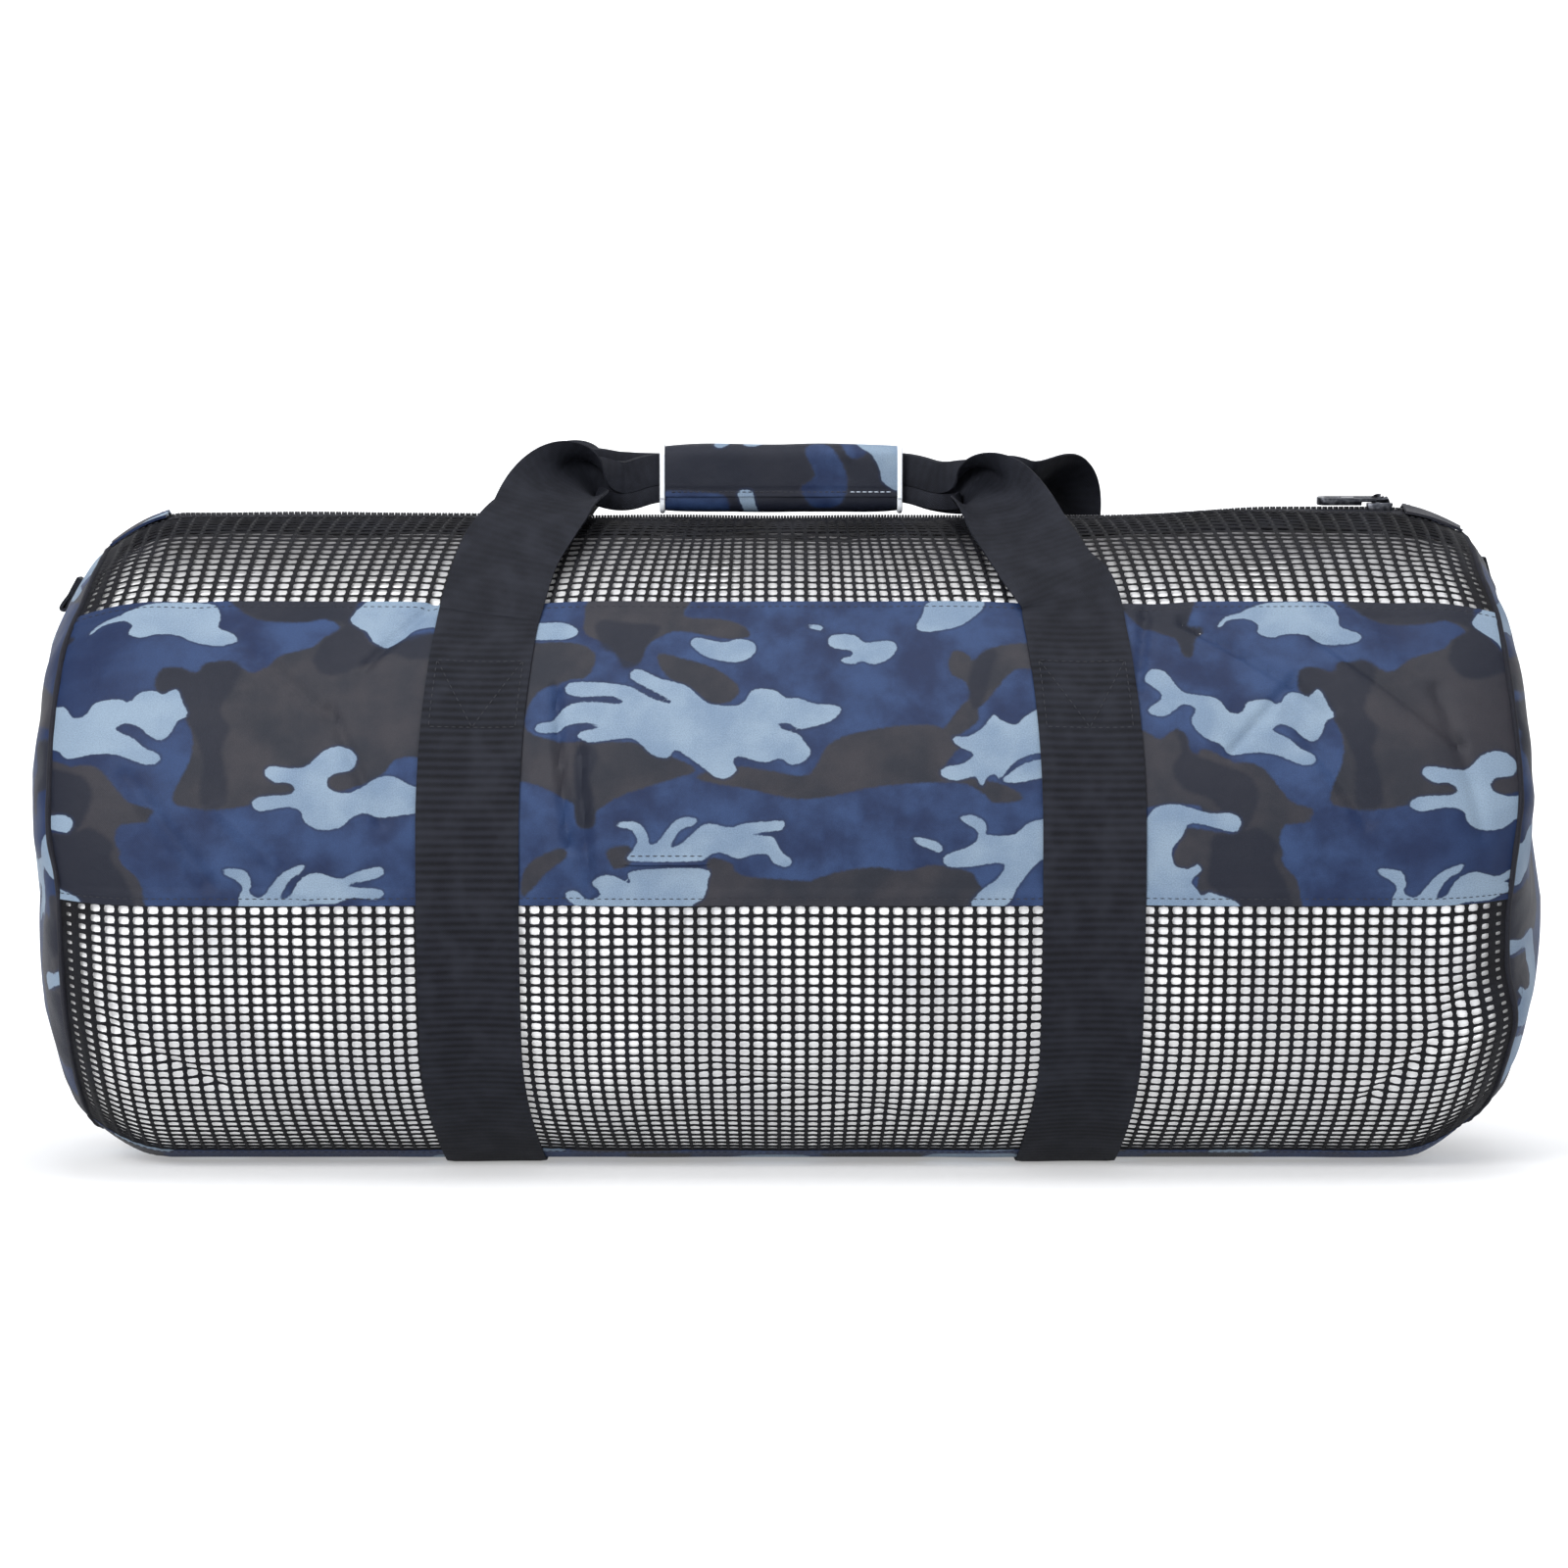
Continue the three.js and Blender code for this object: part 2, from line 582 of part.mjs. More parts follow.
function endTabGeometry(side) {
  const half = THREE.MathUtils.radToDeg(endTabHalf / bodyRadius);
  const columns = steps(side * (zipHalf - endTabCover), side * panelHalf, zipTabStep);
  const inner = teethRise + gap;
  return skinGeometry(columns, steps(90 - half, 90 + half, facetAngle), inner + clothWall, inner);
}

// A manifold solid made from a geometry, and a geometry made from a solid.
function toSolid(geometry) {
  const bare = geometry.clone();
  bare.deleteAttribute('normal');
  bare.deleteAttribute('uv');
  const merged = mergeVertices(bare, 1e-4);
  const vertProperties = new Float32Array(merged.attributes.position.array);
  const triVerts = new Uint32Array(merged.index.array);
  return new wasm.Manifold(new wasm.Mesh({ numProp: 3, vertProperties, triVerts }));
}

function fromSolid(solid) {
  const mesh = solid.getMesh();
  const geometry = new THREE.BufferGeometry();
  geometry.setAttribute('position', new THREE.BufferAttribute(mesh.vertProperties, 3));
  geometry.setIndex(new THREE.BufferAttribute(mesh.triVerts, 1));
  geometry.computeVertexNormals();
  return geometry;
}

// The slider rides over the teeth; its frame starts at the top of its plate.
const sliderEnds = [-1, 0, 1].map((end) => sliderPlace + (end * sliderLength) / 2);
const teethTop = Math.max(
  ...sliderEnds.map((along) => skinPoint(along / barrelHalf, 90, teethRise).z),
);
const plateTop = teethTop + gap + sliderWall;

function sliderGeometry() {
  const innerHalf = teethHalf + gap;
  const outerHalf = innerHalf + sliderWall;
  const section = new THREE.Shape();
  section.moveTo(-outerHalf, plateTop - sliderWall - sliderSkirt);
  section.lineTo(-innerHalf, plateTop - sliderWall - sliderSkirt);
  section.lineTo(-innerHalf, plateTop - sliderWall);
  section.lineTo(innerHalf, plateTop - sliderWall);
  section.lineTo(innerHalf, plateTop - sliderWall - sliderSkirt);
  section.lineTo(outerHalf, plateTop - sliderWall - sliderSkirt);
  section.lineTo(outerHalf, plateTop);
  section.lineTo(-outerHalf, plateTop);
  const body = alongX(section, sliderPlace - sliderLength / 2, sliderLength);
  const bow = new THREE.Shape();
  const sunk = sliderWall / 2;
  const inside = bridgeChamfer + bridgeBand;
  bow.moveTo(-bridgeHalf, -sunk);
  bow.lineTo(-bridgeHalf + bridgeBand, -sunk);
  bow.lineTo(-bridgeHalf + bridgeBand, bridgeHeight - inside);
  bow.lineTo(-bridgeHalf + inside, bridgeHeight - bridgeBand);
  bow.lineTo(bridgeHalf - inside, bridgeHeight - bridgeBand);
  bow.lineTo(bridgeHalf - bridgeBand, bridgeHeight - inside);
  bow.lineTo(bridgeHalf - bridgeBand, -sunk);
  bow.lineTo(bridgeHalf, -sunk);
  bow.lineTo(bridgeHalf, bridgeHeight - bridgeBand);
  bow.lineTo(bridgeHalf - bridgeBand, bridgeHeight);
  bow.lineTo(-bridgeHalf + bridgeBand, bridgeHeight);
  bow.lineTo(-bridgeHalf, bridgeHeight - bridgeBand);
  const bridge = new THREE.ExtrudeGeometry(bow, { depth: bridgeWidth, bevelEnabled: false });
  bridge.rotateX(Math.PI / 2);
  bridge.translate(sliderPlace, bridgeWidth / 2, plateTop);
  return fromSolid(toSolid(body).add(toSolid(bridge)));
}

// The pull hangs on a pin through the bridge. Its frame starts at the pin's middle.
const pinPlace = sliderPlace - bridgeHalf + bridgeBand + pinRadius + gap;

function pullGeometry() {
  const half = pullWidth / 2;
  const slot = bridgeWidth / 2 + forkClear;
  const tip = pinRadius + gap;
  const shape = new THREE.Shape();
  shape.moveTo(tip, -half);
  shape.lineTo(tip, -slot);
  shape.lineTo(-forkReach, -slot);
  shape.lineTo(-forkReach, slot);
  shape.lineTo(tip, slot);
  shape.lineTo(tip, half);
  shape.lineTo(half - pullLength, half);
  shape.absarc(half - pullLength, 0, half, Math.PI / 2, (3 * Math.PI) / 2, false);
  const settings = { depth: pullWall, bevelEnabled: false, curveSegments: roundSegments };
  const plate = new THREE.ExtrudeGeometry(shape, settings);
  plate.translate(0, 0, -pullWall / 2);
  const pin = new THREE.CylinderGeometry(pinRadius, pinRadius, pullWidth - 2 * gap, pinSides);
  return fromSolid(toSolid(plate).add(toSolid(pin)));
}

const looks = {
  camo: { color: 0x2c3d63, roughness: 0.75, metalness: 0 },
  mesh: { color: 0x131316, roughness: 0.85, metalness: 0 },
  webbing: { color: 0x2b2b33, roughness: 0.8, metalness: 0 },
  liner: { color: 0xdfe0e0, roughness: 0.6, metalness: 0 },
  tape: { color: 0x1b1c22, roughness: 0.9, metalness: 0 },
  teeth: { color: 0x202127, roughness: 0.5, metalness: 0 },
  metal: { color: 0x6d6f72, roughness: 0.35, metalness: 1 },
  edging: { color: 0xd8dce2, roughness: 0.7, metalness: 0 },
};

const bag = new THREE.Group();

function add(name, geometry, look) {
  const mesh = new THREE.Mesh(geometry, new THREE.MeshStandardMaterial(looks[look]));
  mesh.name = name;
  bag.add(mesh);
  return mesh;
}

const panel = (rows, isOpen) => skinGeometry(panelColumns, rows, 0, -clothWall, isOpen);

add('side_band_front', panel(bandRows), 'camo');
add('side_band_back', panel(mirrored(bandRows)), 'camo');
add('bottom_panel', panel(groundRows), 'camo');
add('mesh_upper_front', panel(netRows.upper, netOpen(upperGaps)), 'mesh');
add('mesh_upper_back', panel(mirrored(netRows.upper), netOpen(mirrorGaps(upperGaps))), 'mesh');
add('mesh_lower_front', panel(netRows.lower, netOpen(lowerGaps)), 'mesh');
add('mesh_lower_back', panel(mirrored(netRows.lower), netOpen(mirrorGaps(lowerGaps))), 'mesh');
add('inner_liner', linerGeometry(), 'liner');

add('zip_tape_front', tapeGeometry(tapeRows), 'tape');
add('zip_tape_back', tapeGeometry(mirrored(tapeRows)), 'tape');
add('zip_teeth', teethGeometry(), 'teeth');
add('zip_slider', sliderGeometry(), 'metal');
const pull = add('zip_pull', pullGeometry(), 'metal');
pull.position.set(pinPlace, 0, plateTop + pinHeight);

const sides = { left: -1, right: 1 };
Object.entries(sides).forEach(([name, side]) => {
  add(`end_panel_${name}`, endGeometry(side), 'camo');
  add(`end_piping_${name}`, pipingGeometry(side), 'webbing');
  add(`zip_end_tab_${name}`, endTabGeometry(side), 'camo');
  add(`pull_tab_${name}`, tabGeometry(side), 'webbing');
  add(`strap_${name}`, strapGeometry(side), 'webbing');
  const edging = alongX(gripShape(gripBindingProud, gripFlap), 0, gripBindingWidth);
  const binding = add(`grip_binding_${name}`, edging, 'edging');
  const near = gripLength / 2 + gap;
  binding.position.x = webbingShift + (side > 0 ? near : -near - gripBindingWidth);
});

add('handle_front', handleGeometry(frontLeftArm, frontRightArm, 1), 'webbing');
add('handle_back', handleGeometry(backLeftArm, backRightArm, -1), 'webbing');
const wrap = add('grip_wrap', alongX(gripShape(0, gripFlap), 0, gripLength), 'camo');
wrap.position.x = webbingShift - gripLength / 2;

export default bag;
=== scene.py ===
import math

import bmesh
import bpy
import numpy as np
from mathutils import Matrix, Vector


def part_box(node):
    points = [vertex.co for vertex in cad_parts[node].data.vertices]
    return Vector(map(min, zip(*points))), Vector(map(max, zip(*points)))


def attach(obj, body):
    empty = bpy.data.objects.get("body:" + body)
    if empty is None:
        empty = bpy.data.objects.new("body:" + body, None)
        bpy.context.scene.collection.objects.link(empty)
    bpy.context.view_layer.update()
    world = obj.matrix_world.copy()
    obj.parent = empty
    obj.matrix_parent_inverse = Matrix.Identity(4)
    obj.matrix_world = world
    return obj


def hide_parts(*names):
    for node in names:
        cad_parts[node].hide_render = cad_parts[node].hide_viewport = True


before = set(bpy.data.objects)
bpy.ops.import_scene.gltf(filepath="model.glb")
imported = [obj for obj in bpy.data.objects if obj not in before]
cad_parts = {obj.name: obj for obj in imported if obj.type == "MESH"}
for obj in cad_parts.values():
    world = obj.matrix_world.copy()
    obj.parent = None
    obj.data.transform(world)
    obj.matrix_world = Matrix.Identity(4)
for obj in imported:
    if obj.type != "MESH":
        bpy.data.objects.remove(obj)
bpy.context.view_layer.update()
bpy.ops.object.select_all(action="DESELECT")
print("frame loaded:", len(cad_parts), "nodes")

# Sizes are in millimetres, and mm turns them into metres. Places on the bag are given along it
# and in degrees round it, with 0 at the middle of the front, 90 at the top, 180 at the back and
# -90 at the bottom.
mm = 0.001
chance = np.random.default_rng(17)

barrel = {
    "radius": 165,
    "half": 350,  # middle of the bag to an end seam
    "shoulder": 42,  # stretch over which the barrel draws in to the seam
    "drop": 17,
    "bulge": 33,  # of the end panels
    "fullness": 0.65,
    "flat": 6.1,  # pressed flat where the bag rests
    "cloth": 1.3,
    "webbing": 1.8,
    "gap": 0.3,
    "panelHalf": 349,  # half the length of the cloth and net panels
    "hem": 84.5,  # upper edge of the upper nets, in degrees, as the next three
    "bandTop": 48,
    "bandBottom": -8,
    "ground": -68,
    "zipHalf": 336,
}
arc = math.radians(barrel["radius"])  # millimetres round the barrel for each degree
groundHeight = barrel["webbing"] + barrel["gap"]
axisHeight = groundHeight + barrel["radius"] - barrel["flat"]
seamRadius = barrel["radius"] - barrel["drop"]

# The main dents: along from and to as shares of half, round from and to in degrees, then
# reach and depth as shares of radius.
dents = [
    (-0.434, -0.434, -60, 60, 0.17, 0.016),
    (0.434, 0.434, -60, 60, 0.17, 0.016),
    (-0.434, -0.434, 120, 240, 0.17, 0.016),
    (0.434, 0.434, 120, 240, 0.17, 0.016),
    (-0.3, 0.4, 90, 90, 0.3, 0.009),
    (0.72, 0.9, 86, 94, 0.24, -0.018),
    (-0.84, -0.7, 44, 20, 0.07, 0.012),
    (-0.36, -0.3, 14, -6, 0.06, 0.012),
    (0.55, 0.7, 46, 18, 0.08, 0.012),
    (0.86, 0.94, 44, 14, 0.08, 0.014),
    (-0.72, -0.86, 160, 186, 0.08, 0.012),
    (0.64, 0.78, 136, 166, 0.08, 0.012),
]
# Small folds of the cloth, in the same columns.
folds = [
    (-0.78, -0.64, 40, 24, 0.019, 0.0143),
    (-0.64, -0.56, 26, 6, 0.017, 0.013),
    (-0.9, -0.8, 14, -4, 0.025, 0.0143),
    (-0.78, -0.66, 8, -7, 0.021, -0.013),
    (-0.33, -0.3, 30, 2, 0.015, 0.0169),
    (-0.29, -0.27, 20, -6, 0.015, -0.013),
    (0.58, 0.76, 44, 26, 0.017, 0.0182),
    (0.62, 0.72, 18, 32, 0.015, 0.0143),
    (0.76, 0.92, 40, 20, 0.019, 0.0182),
    (0.8, 0.7, 6, 26, 0.017, 0.013),
    (0.9, 0.95, 30, 4, 0.021, 0.0143),
    (0.53, 0.5, 46, 30, 0.017, 0.013),
    (-0.52, -0.6, 48, 34, 0.017, 0.013),
    (-0.7, -0.88, 152, 172, 0.019, 0.0182),
    (-0.6, -0.7, 140, 168, 0.017, 0.0143),
    (0.3, 0.28, 150, 182, 0.017, 0.0169),
    (0.7, 0.86, 142, 168, 0.019, 0.0182),
    (0.1, -0.12, 160, 170, 0.025, 0.013),
    (-0.95, -0.86, 70, 52, 0.03, 0.006),
    (0.95, 0.86, 70, 54, 0.03, 0.006),
    (-0.16, 0.1, 74, 70, 0.03, 0.008),
    (-0.95, -0.8, -30, -44, 0.025, 0.013),
    (0.94, 0.82, -24, -48, 0.025, 0.013),
    (-0.1, 0.14, -40, -52, 0.043, 0.008),
]


def smooth(value, start, end):
    share = np.clip((value - start) / (end - start), 0, 1)
    return share * share * (3 - 2 * share)


# Faint ripples all over the cloth: their depth, then how far apart they come along and round
ripple = {"depth": 0.3, "along": 19, "around": 23, "bendAlong": 71, "bendAround": 47}


# How far the skin is pressed in.
def pressed(along, around):
    turned = (np.mod(around + 90, 360) - 90) * arc
    wave = np.sin(along / ripple["along"] + 2 * np.sin(turned / ripple["bendAround"]))
    wave = wave * np.sin(turned / ripple["around"] + along / ripple["bendAlong"])
    depth = ripple["depth"] * wave
    for x0, x1, a0, a1, reach, deep in dents + folds:
        start = np.array([x0 * barrel["half"], a0 * arc])
        run = np.array([x1 * barrel["half"], a1 * arc]) - start
        share = ((along - start[0]) * run[0] + (turned - start[1]) * run[1]) / (run @ run)
        share = np.clip(share, 0, 1)
        aside = np.hypot(start[0] + share * run[0] - along, start[1] + share * run[1] - turned)
        away = aside / (reach * barrel["radius"])
        depth = depth + deep * barrel["radius"] * np.exp(-away * away)
    return depth


# The cloth is drawn towards the middle of the bag above and below its band.
leaning = {"top": 21, "bottom": 9, "from": 0, "full": 100, "fade": 225, "gone": 347}


def leanIn(along, around):
    high = np.degrees(np.arcsin(np.clip(np.sin(np.radians(around)), -1, 1)))
    up = leaning["top"] * smooth(high, 5, 125) * 1.6
    down = leaning["bottom"] * smooth(-high, 35, 80)
    far = np.abs(along)
    much = smooth(far, leaning["from"], leaning["full"])
    much = much * (1 - smooth(far, leaning["fade"], leaning["gone"]))
    return -np.sign(along) * (up + down) * much


# The end seams aren't flat rings. At each height, as degrees from the middle to the top or the
# bottom: how far the seam lies out from half, and up from its ring. Then, by height in
# millimetres, how far the end panels stand out from a plain dome.
seams = {
    "left": [
        (-90, -4, -2), (-57, 1, 0), (-30, 4, 0), (-5, 4, 0), (4, 9, 1), (25, 8, 3),
        (34, 6, 5), (42, 4, 6), (53, -3, 6), (70, -7, 2), (90, -8, 0),
    ],
    "right": [
        (-90, -6, -5), (-70, -4, -3), (-53, 3, 0), (-33, 9, 0), (-22, 2, 0), (-10, 1.5, 0), (2, 5, 1),
        (11, 8, 2), (22, 6, 4), (40, 2, 9), (49, 0, 9), (60, -5, 9), (90, -8, 7),
    ],
    "from": 262,  # along the bag, where the shift starts
    "lessBehind": 0.45,  # of the shift and rise is gone at the back
}
slack = {
    "left": [
        (20, 0), (50, -2.5), (80, -0.5), (110, -3), (137, -5.5), (168, -3), (200, -1.5),
        (228, -3), (243, -2), (262, 1), (285, 1),
    ],
    "right": [
        (20, 0), (60, -2), (90, 0), (135, -1), (165, -6), (200, -5.5), (228, -4.5),
        (258, -5.5), (273, -7), (288, -9), (303, -11),
    ],
}


# Shift of an end seam outwards, and its rise, at places round the bag.
def seamPlace(right, around):
    turn = np.radians(around)
    high = np.degrees(np.arcsin(np.clip(np.sin(turn), -1, 1)))
    fine = np.linspace(-90, 90, 181)
    softening = np.hanning(13)[1:-1] / 6  # weights that blur the tables over 11 degrees
    found = []
    for column in (1, 2):
        sides = []
        for side in ("left", "right"):
            table = np.array(seams[side])
            line = np.interp(fine, table[:, 0], table[:, column])
            soft = np.convolve(np.pad(line, 5, "edge"), softening, "valid")
            sides.append(np.interp(high, fine, soft))
        found.append(np.where(right, sides[1], sides[0]))
    much = 1 - seams["lessBehind"] * smooth(-np.cos(turn), 0, 1)
    return found[0] * much, found[1] * much


# Points of the bag's skin in metres, moved out by offset.
def skin(along, around, offset, leans=True):
    along, around, offset = np.broadcast_arrays(
        np.asarray(along, float), np.asarray(around, float), np.asarray(offset, float)
    )
    drawn = np.clip((np.abs(along) - barrel["half"] + barrel["shoulder"]) / barrel["shoulder"], 0, 1)
    slope = -2 * barrel["drop"] * drawn / barrel["shoulder"] * np.sign(along)
    steep = np.sqrt(1 + slope * slope)
    shift, rise = seamPlace(along > 0, around)
    radius = barrel["radius"] - (barrel["drop"] - rise) * drawn**2 + offset / steep
    radius = radius - pressed(along, around)
    turn = np.radians(around)
    shift = shift * np.sign(along) * smooth(np.abs(along), seams["from"], barrel["half"])
    x = along - slope / steep * offset + shift
    if leans:
        x = x + leanIn(along, around)
    z = np.maximum(axisHeight + radius * np.sin(turn), groundHeight - offset)
    return np.stack([x, -radius * np.cos(turn), z], -1) * mm


# Points of an end panel: share runs from 0 at its seam to 1 at its middle.
def dome(side, share, around, offset, puckers=0.0):
    share, around = np.broadcast_arrays(np.asarray(share, float), np.asarray(around, float))

    def profile(value):
        inner = 1 - value
        bulge = barrel["bulge"] * np.clip(1 - inner * inner, 0, 1) ** barrel["fullness"]
        return barrel["half"] + bulge, inner * seamRadius

    nudge = 1e-4
    before = profile(np.clip(share - nudge, 0, 1))
    after = profile(np.clip(share + nudge, 0, 1))
    run = np.stack([after[0] - before[0], after[1] - before[1]], -1)
    run /= np.linalg.norm(run, axis=-1, keepdims=True)
    turn = np.radians(around)
    gather = np.sin(turn * 31 + 1.7 * np.sin(turn * 5)) * np.exp(-share / 0.14)
    sag = np.sin(turn * 3 + 0.6) * np.sin(share * 9 + np.sin(turn * 2)) * (1 - share)
    lift = offset + puckers * (gather * smooth(share, 0, 0.05) + 0.8 * sag)
    x, radius = profile(share)
    shift, rise = seamPlace(side > 0, around)
    inner = np.clip(radius / seamRadius, 0, 1)
    x = x - run[..., 1] * lift + shift * inner**3
    radius = radius + run[..., 0] * lift + rise * inner**2
    height = axisHeight + radius * np.sin(turn)
    table = np.array(slack["right" if side > 0 else "left"])
    x = x + np.interp(height, table[:, 0], table[:, 1]) * smooth(share, 0, 0.3)
    return np.stack([side * x, -radius * np.cos(turn), height], -1) * mm


# Merges a mesh's doubles, closes its holes where asked, and turns its normals outward.
def cleanMesh(mesh, distance, close=False):
    built = bmesh.new()
    built.from_mesh(mesh)
    bmesh.ops.remove_doubles(built, verts=built.verts, dist=distance)
    if close:
        bmesh.ops.holes_fill(built, edges=[edge for edge in built.edges if edge.is_boundary])
    bmesh.ops.recalc_face_normals(built, faces=built.faces)
    built.to_mesh(mesh)
    built.free()


# One mesh from arrays of points and faces, with its normals outward and its values per point.
def makePiece(name, points, faces, material, body="bag", replaced=(), values=None, angle=40):
    points = np.asarray(points).reshape(-1, 3)
    used = np.unique(np.concatenate([np.ravel(part) for part in faces]))
    order = np.full(len(points), -1)
    order[used] = np.arange(len(used))
    mesh = bpy.data.meshes.new(name)
    listed = [corners for part in faces for corners in order[np.asarray(part)].tolist()]
    mesh.from_pydata(points[used].tolist(), [], listed)
    for key, array in (values or {}).items():
        wide = array.shape[-1] == 3
        layer = mesh.attributes.new(key, "FLOAT_VECTOR" if wide else "FLOAT", "POINT")
        layer.data.foreach_set("vector" if wide else "value", array[used].astype(np.float32).ravel())
    cleanMesh(mesh, 1e-7)
    mesh.shade_smooth()
    mesh.set_sharp_from_angle(angle=math.radians(angle))
    mesh.materials.append(material)
    piece = bpy.data.objects.new(name, mesh)
    bpy.context.scene.collection.objects.link(piece)
    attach(piece, body)
    if replaced:
        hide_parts(*replaced)
    return piece


# Four-cornered faces between neighbours in a grid of point numbers.
def gridFaces(index, flipped=False):
    near, far = index[1:, :-1], index[:-1, 1:]
    if flipped:
        near, far = far, near
    corners = index[:-1, :-1], near, index[1:, 1:], far
    return np.stack([part.ravel() for part in corners], -1)


# Faces of a closed wall: outer and inner are grids of points, joined round their rims.
def wallFaces(columns, rows, aroundColumns=False, aroundRows=False):
    index = np.arange(columns * rows).reshape(columns, rows)
    if aroundColumns:
        index = np.concatenate([index, index[:1]])
    if aroundRows:
        index = np.concatenate([index, index[:, :1]], 1)
    inner = index + columns * rows
    faces = [gridFaces(index), gridFaces(inner, flipped=True)]
    rims = []
    if not aroundRows:
        rims += [(index[:, 0], inner[:, 0]), (index[:, -1], inner[:, -1])]
    if not aroundColumns:
        rims += [(index[0], inner[0]), (index[-1], inner[-1])]
    for top, low in rims:
        faces.append(np.stack([top[:-1], top[1:], low[1:], low[:-1]], -1))
    return faces


# Outward directions across a surface given as rows of points, from its runs along the rows.
def gridNormals(runs, rows):
    normals = np.cross(runs, np.gradient(rows, axis=1))
    return normals / np.linalg.norm(normals, axis=2, keepdims=True)


# Distances along a line of points from its start.
def lengthsAlong(points):
    return np.concatenate([[0], np.cumsum(np.linalg.norm(np.diff(points, axis=0), axis=1))])


# A closed wall between two grids of points, with its values per point of a grid.
def makeWall(name, outer, inner, material, wraps=(False, False), values=None, **more):
    points = np.concatenate([outer.reshape(-1, 3), inner.reshape(-1, 3)])
    doubled = {}
    for key, array in (values or {}).items():
        flat = array.reshape(-1, array.shape[-1])
        doubled[key] = np.concatenate([flat, flat])
    faces = wallFaces(*outer.shape[:2], *wraps)
    return makePiece(name, points, faces, material, values=doubled, **more)


def evenly(start, end, step):
    return np.linspace(start, end, max(2, round(abs(end - start) / step) + 1))


# One output of a material's tree, so that masks and bumps are written as sums.
class Wire:
    def __init__(self, tree, socket=None):
        self.tree = tree
        self.socket = socket

    def node(self, kind, settings, inputs, output=0):
        made = self.tree.nodes.new(kind)
        for name, value in settings.items():
            setattr(made, name, value)
        for place, value in inputs.items():
            if isinstance(value, Wire):
                self.tree.links.new(value.socket, made.inputs[place])
            else:
                made.inputs[place].default_value = value
        return Wire(self.tree, made.outputs[output])

    def maths(self, operation, *values):
        return self.node("ShaderNodeMath", {"operation": operation}, dict(enumerate(values)))

    def __add__(self, other):
        return self.maths("ADD", self, other)

    def __mul__(self, other):
        return self.maths("MULTIPLY", self, other)

    def __sub__(self, other):
        return self.maths("SUBTRACT", self, other)

    def __rsub__(self, other):
        return self.maths("SUBTRACT", other, self)

    def __truediv__(self, other):
        return self.maths("DIVIDE", self, other)

    __radd__ = __add__
    __rmul__ = __mul__

    def sine(self):
        return self.maths("SINE", self)

    def size(self):
        return self.maths("ABSOLUTE", self)

    # 0 up to low, 1 from high, and smooth between them
    def step(self, low, high):
        settings = {"interpolation_type": "SMOOTHSTEP"}
        return self.node("ShaderNodeMapRange", settings, {"Value": self, 1: low, 2: high})

    # first where this is 0, second where it is 1
    def blend(self, first, second):
        inputs = {0: self, 6: first, 7: second}
        return self.node("ShaderNodeMix", {"data_type": "RGBA"}, inputs, 2)

    def value(self, name):
        return self.node("ShaderNodeAttribute", {"attribute_name": name}, {}, 2)

    def place(self, name):
        return self.node("ShaderNodeAttribute", {"attribute_name": name}, {}, 1)

    def part(self, axis):
        return self.node("ShaderNodeSeparateXYZ", {}, {0: self}, "XYZ".index(axis))

    def objectPlace(self):
        return self.node("ShaderNodeTexCoord", {}, {}, 3)

    def noise(self, place, scale, detail=3.0, rough=0.55):
        inputs = {"Vector": place, "Scale": scale, "Detail": detail, "Roughness": rough}
        return self.node("ShaderNodeTexNoise", {}, inputs)

    def bump(self, height, distance, strength=1.0):
        inputs = {"Height": height, "Distance": distance, "Strength": strength}
        return self.node("ShaderNodeBump", {}, inputs)


def newMaterial(name, constants):
    material = bpy.data.materials.new(name)
    material.cycles.emission_sampling = "NONE"  # the glows are faint and broad
    material.use_nodes = True
    shader = material.node_tree.nodes["Principled BSDF"]
    for key, value in constants.items():
        shader.inputs[key].default_value = value
    return material, shader, Wire(material.node_tree)


def join(shader, **wires):
    names = {"color": "Base Color", "glow": "Emission Color"}
    for key, wire in wires.items():
        wire.tree.links.new(wire.socket, shader.inputs[names.get(key, key.title())])


# A colour by its screen values, 0 to 255.
def tint(red, green, blue):
    def linear(value):
        share = value / 255
        return share / 12.92 if share <= 0.04045 else ((share + 0.055) / 1.055) ** 2.4

    return (linear(red), linear(green), linear(blue), 1.0)


# Camouflage cloth
camo = {
    "navy": tint(37, 56, 91),
    "deepNavy": tint(12, 28, 60),
    "earth": tint(41, 40, 46),
    "deepEarth": tint(27, 30, 39),
    "dark": tint(14, 19, 33),
    "light": tint(115, 132, 149),
    "deepLight": tint(98, 116, 137),
    "edge": tint(22, 33, 58),
    "period": 558,  # the print repeats along the bag
    "nextRow": (190, 172),  # and, moved by this much, round it
    "weave": 0.8,  # pitch of the threads
    "endShade": (350, 270),  # painted shade: between these places along the bag the tone of the blotches shifts, deepening the navy towards the ends
}
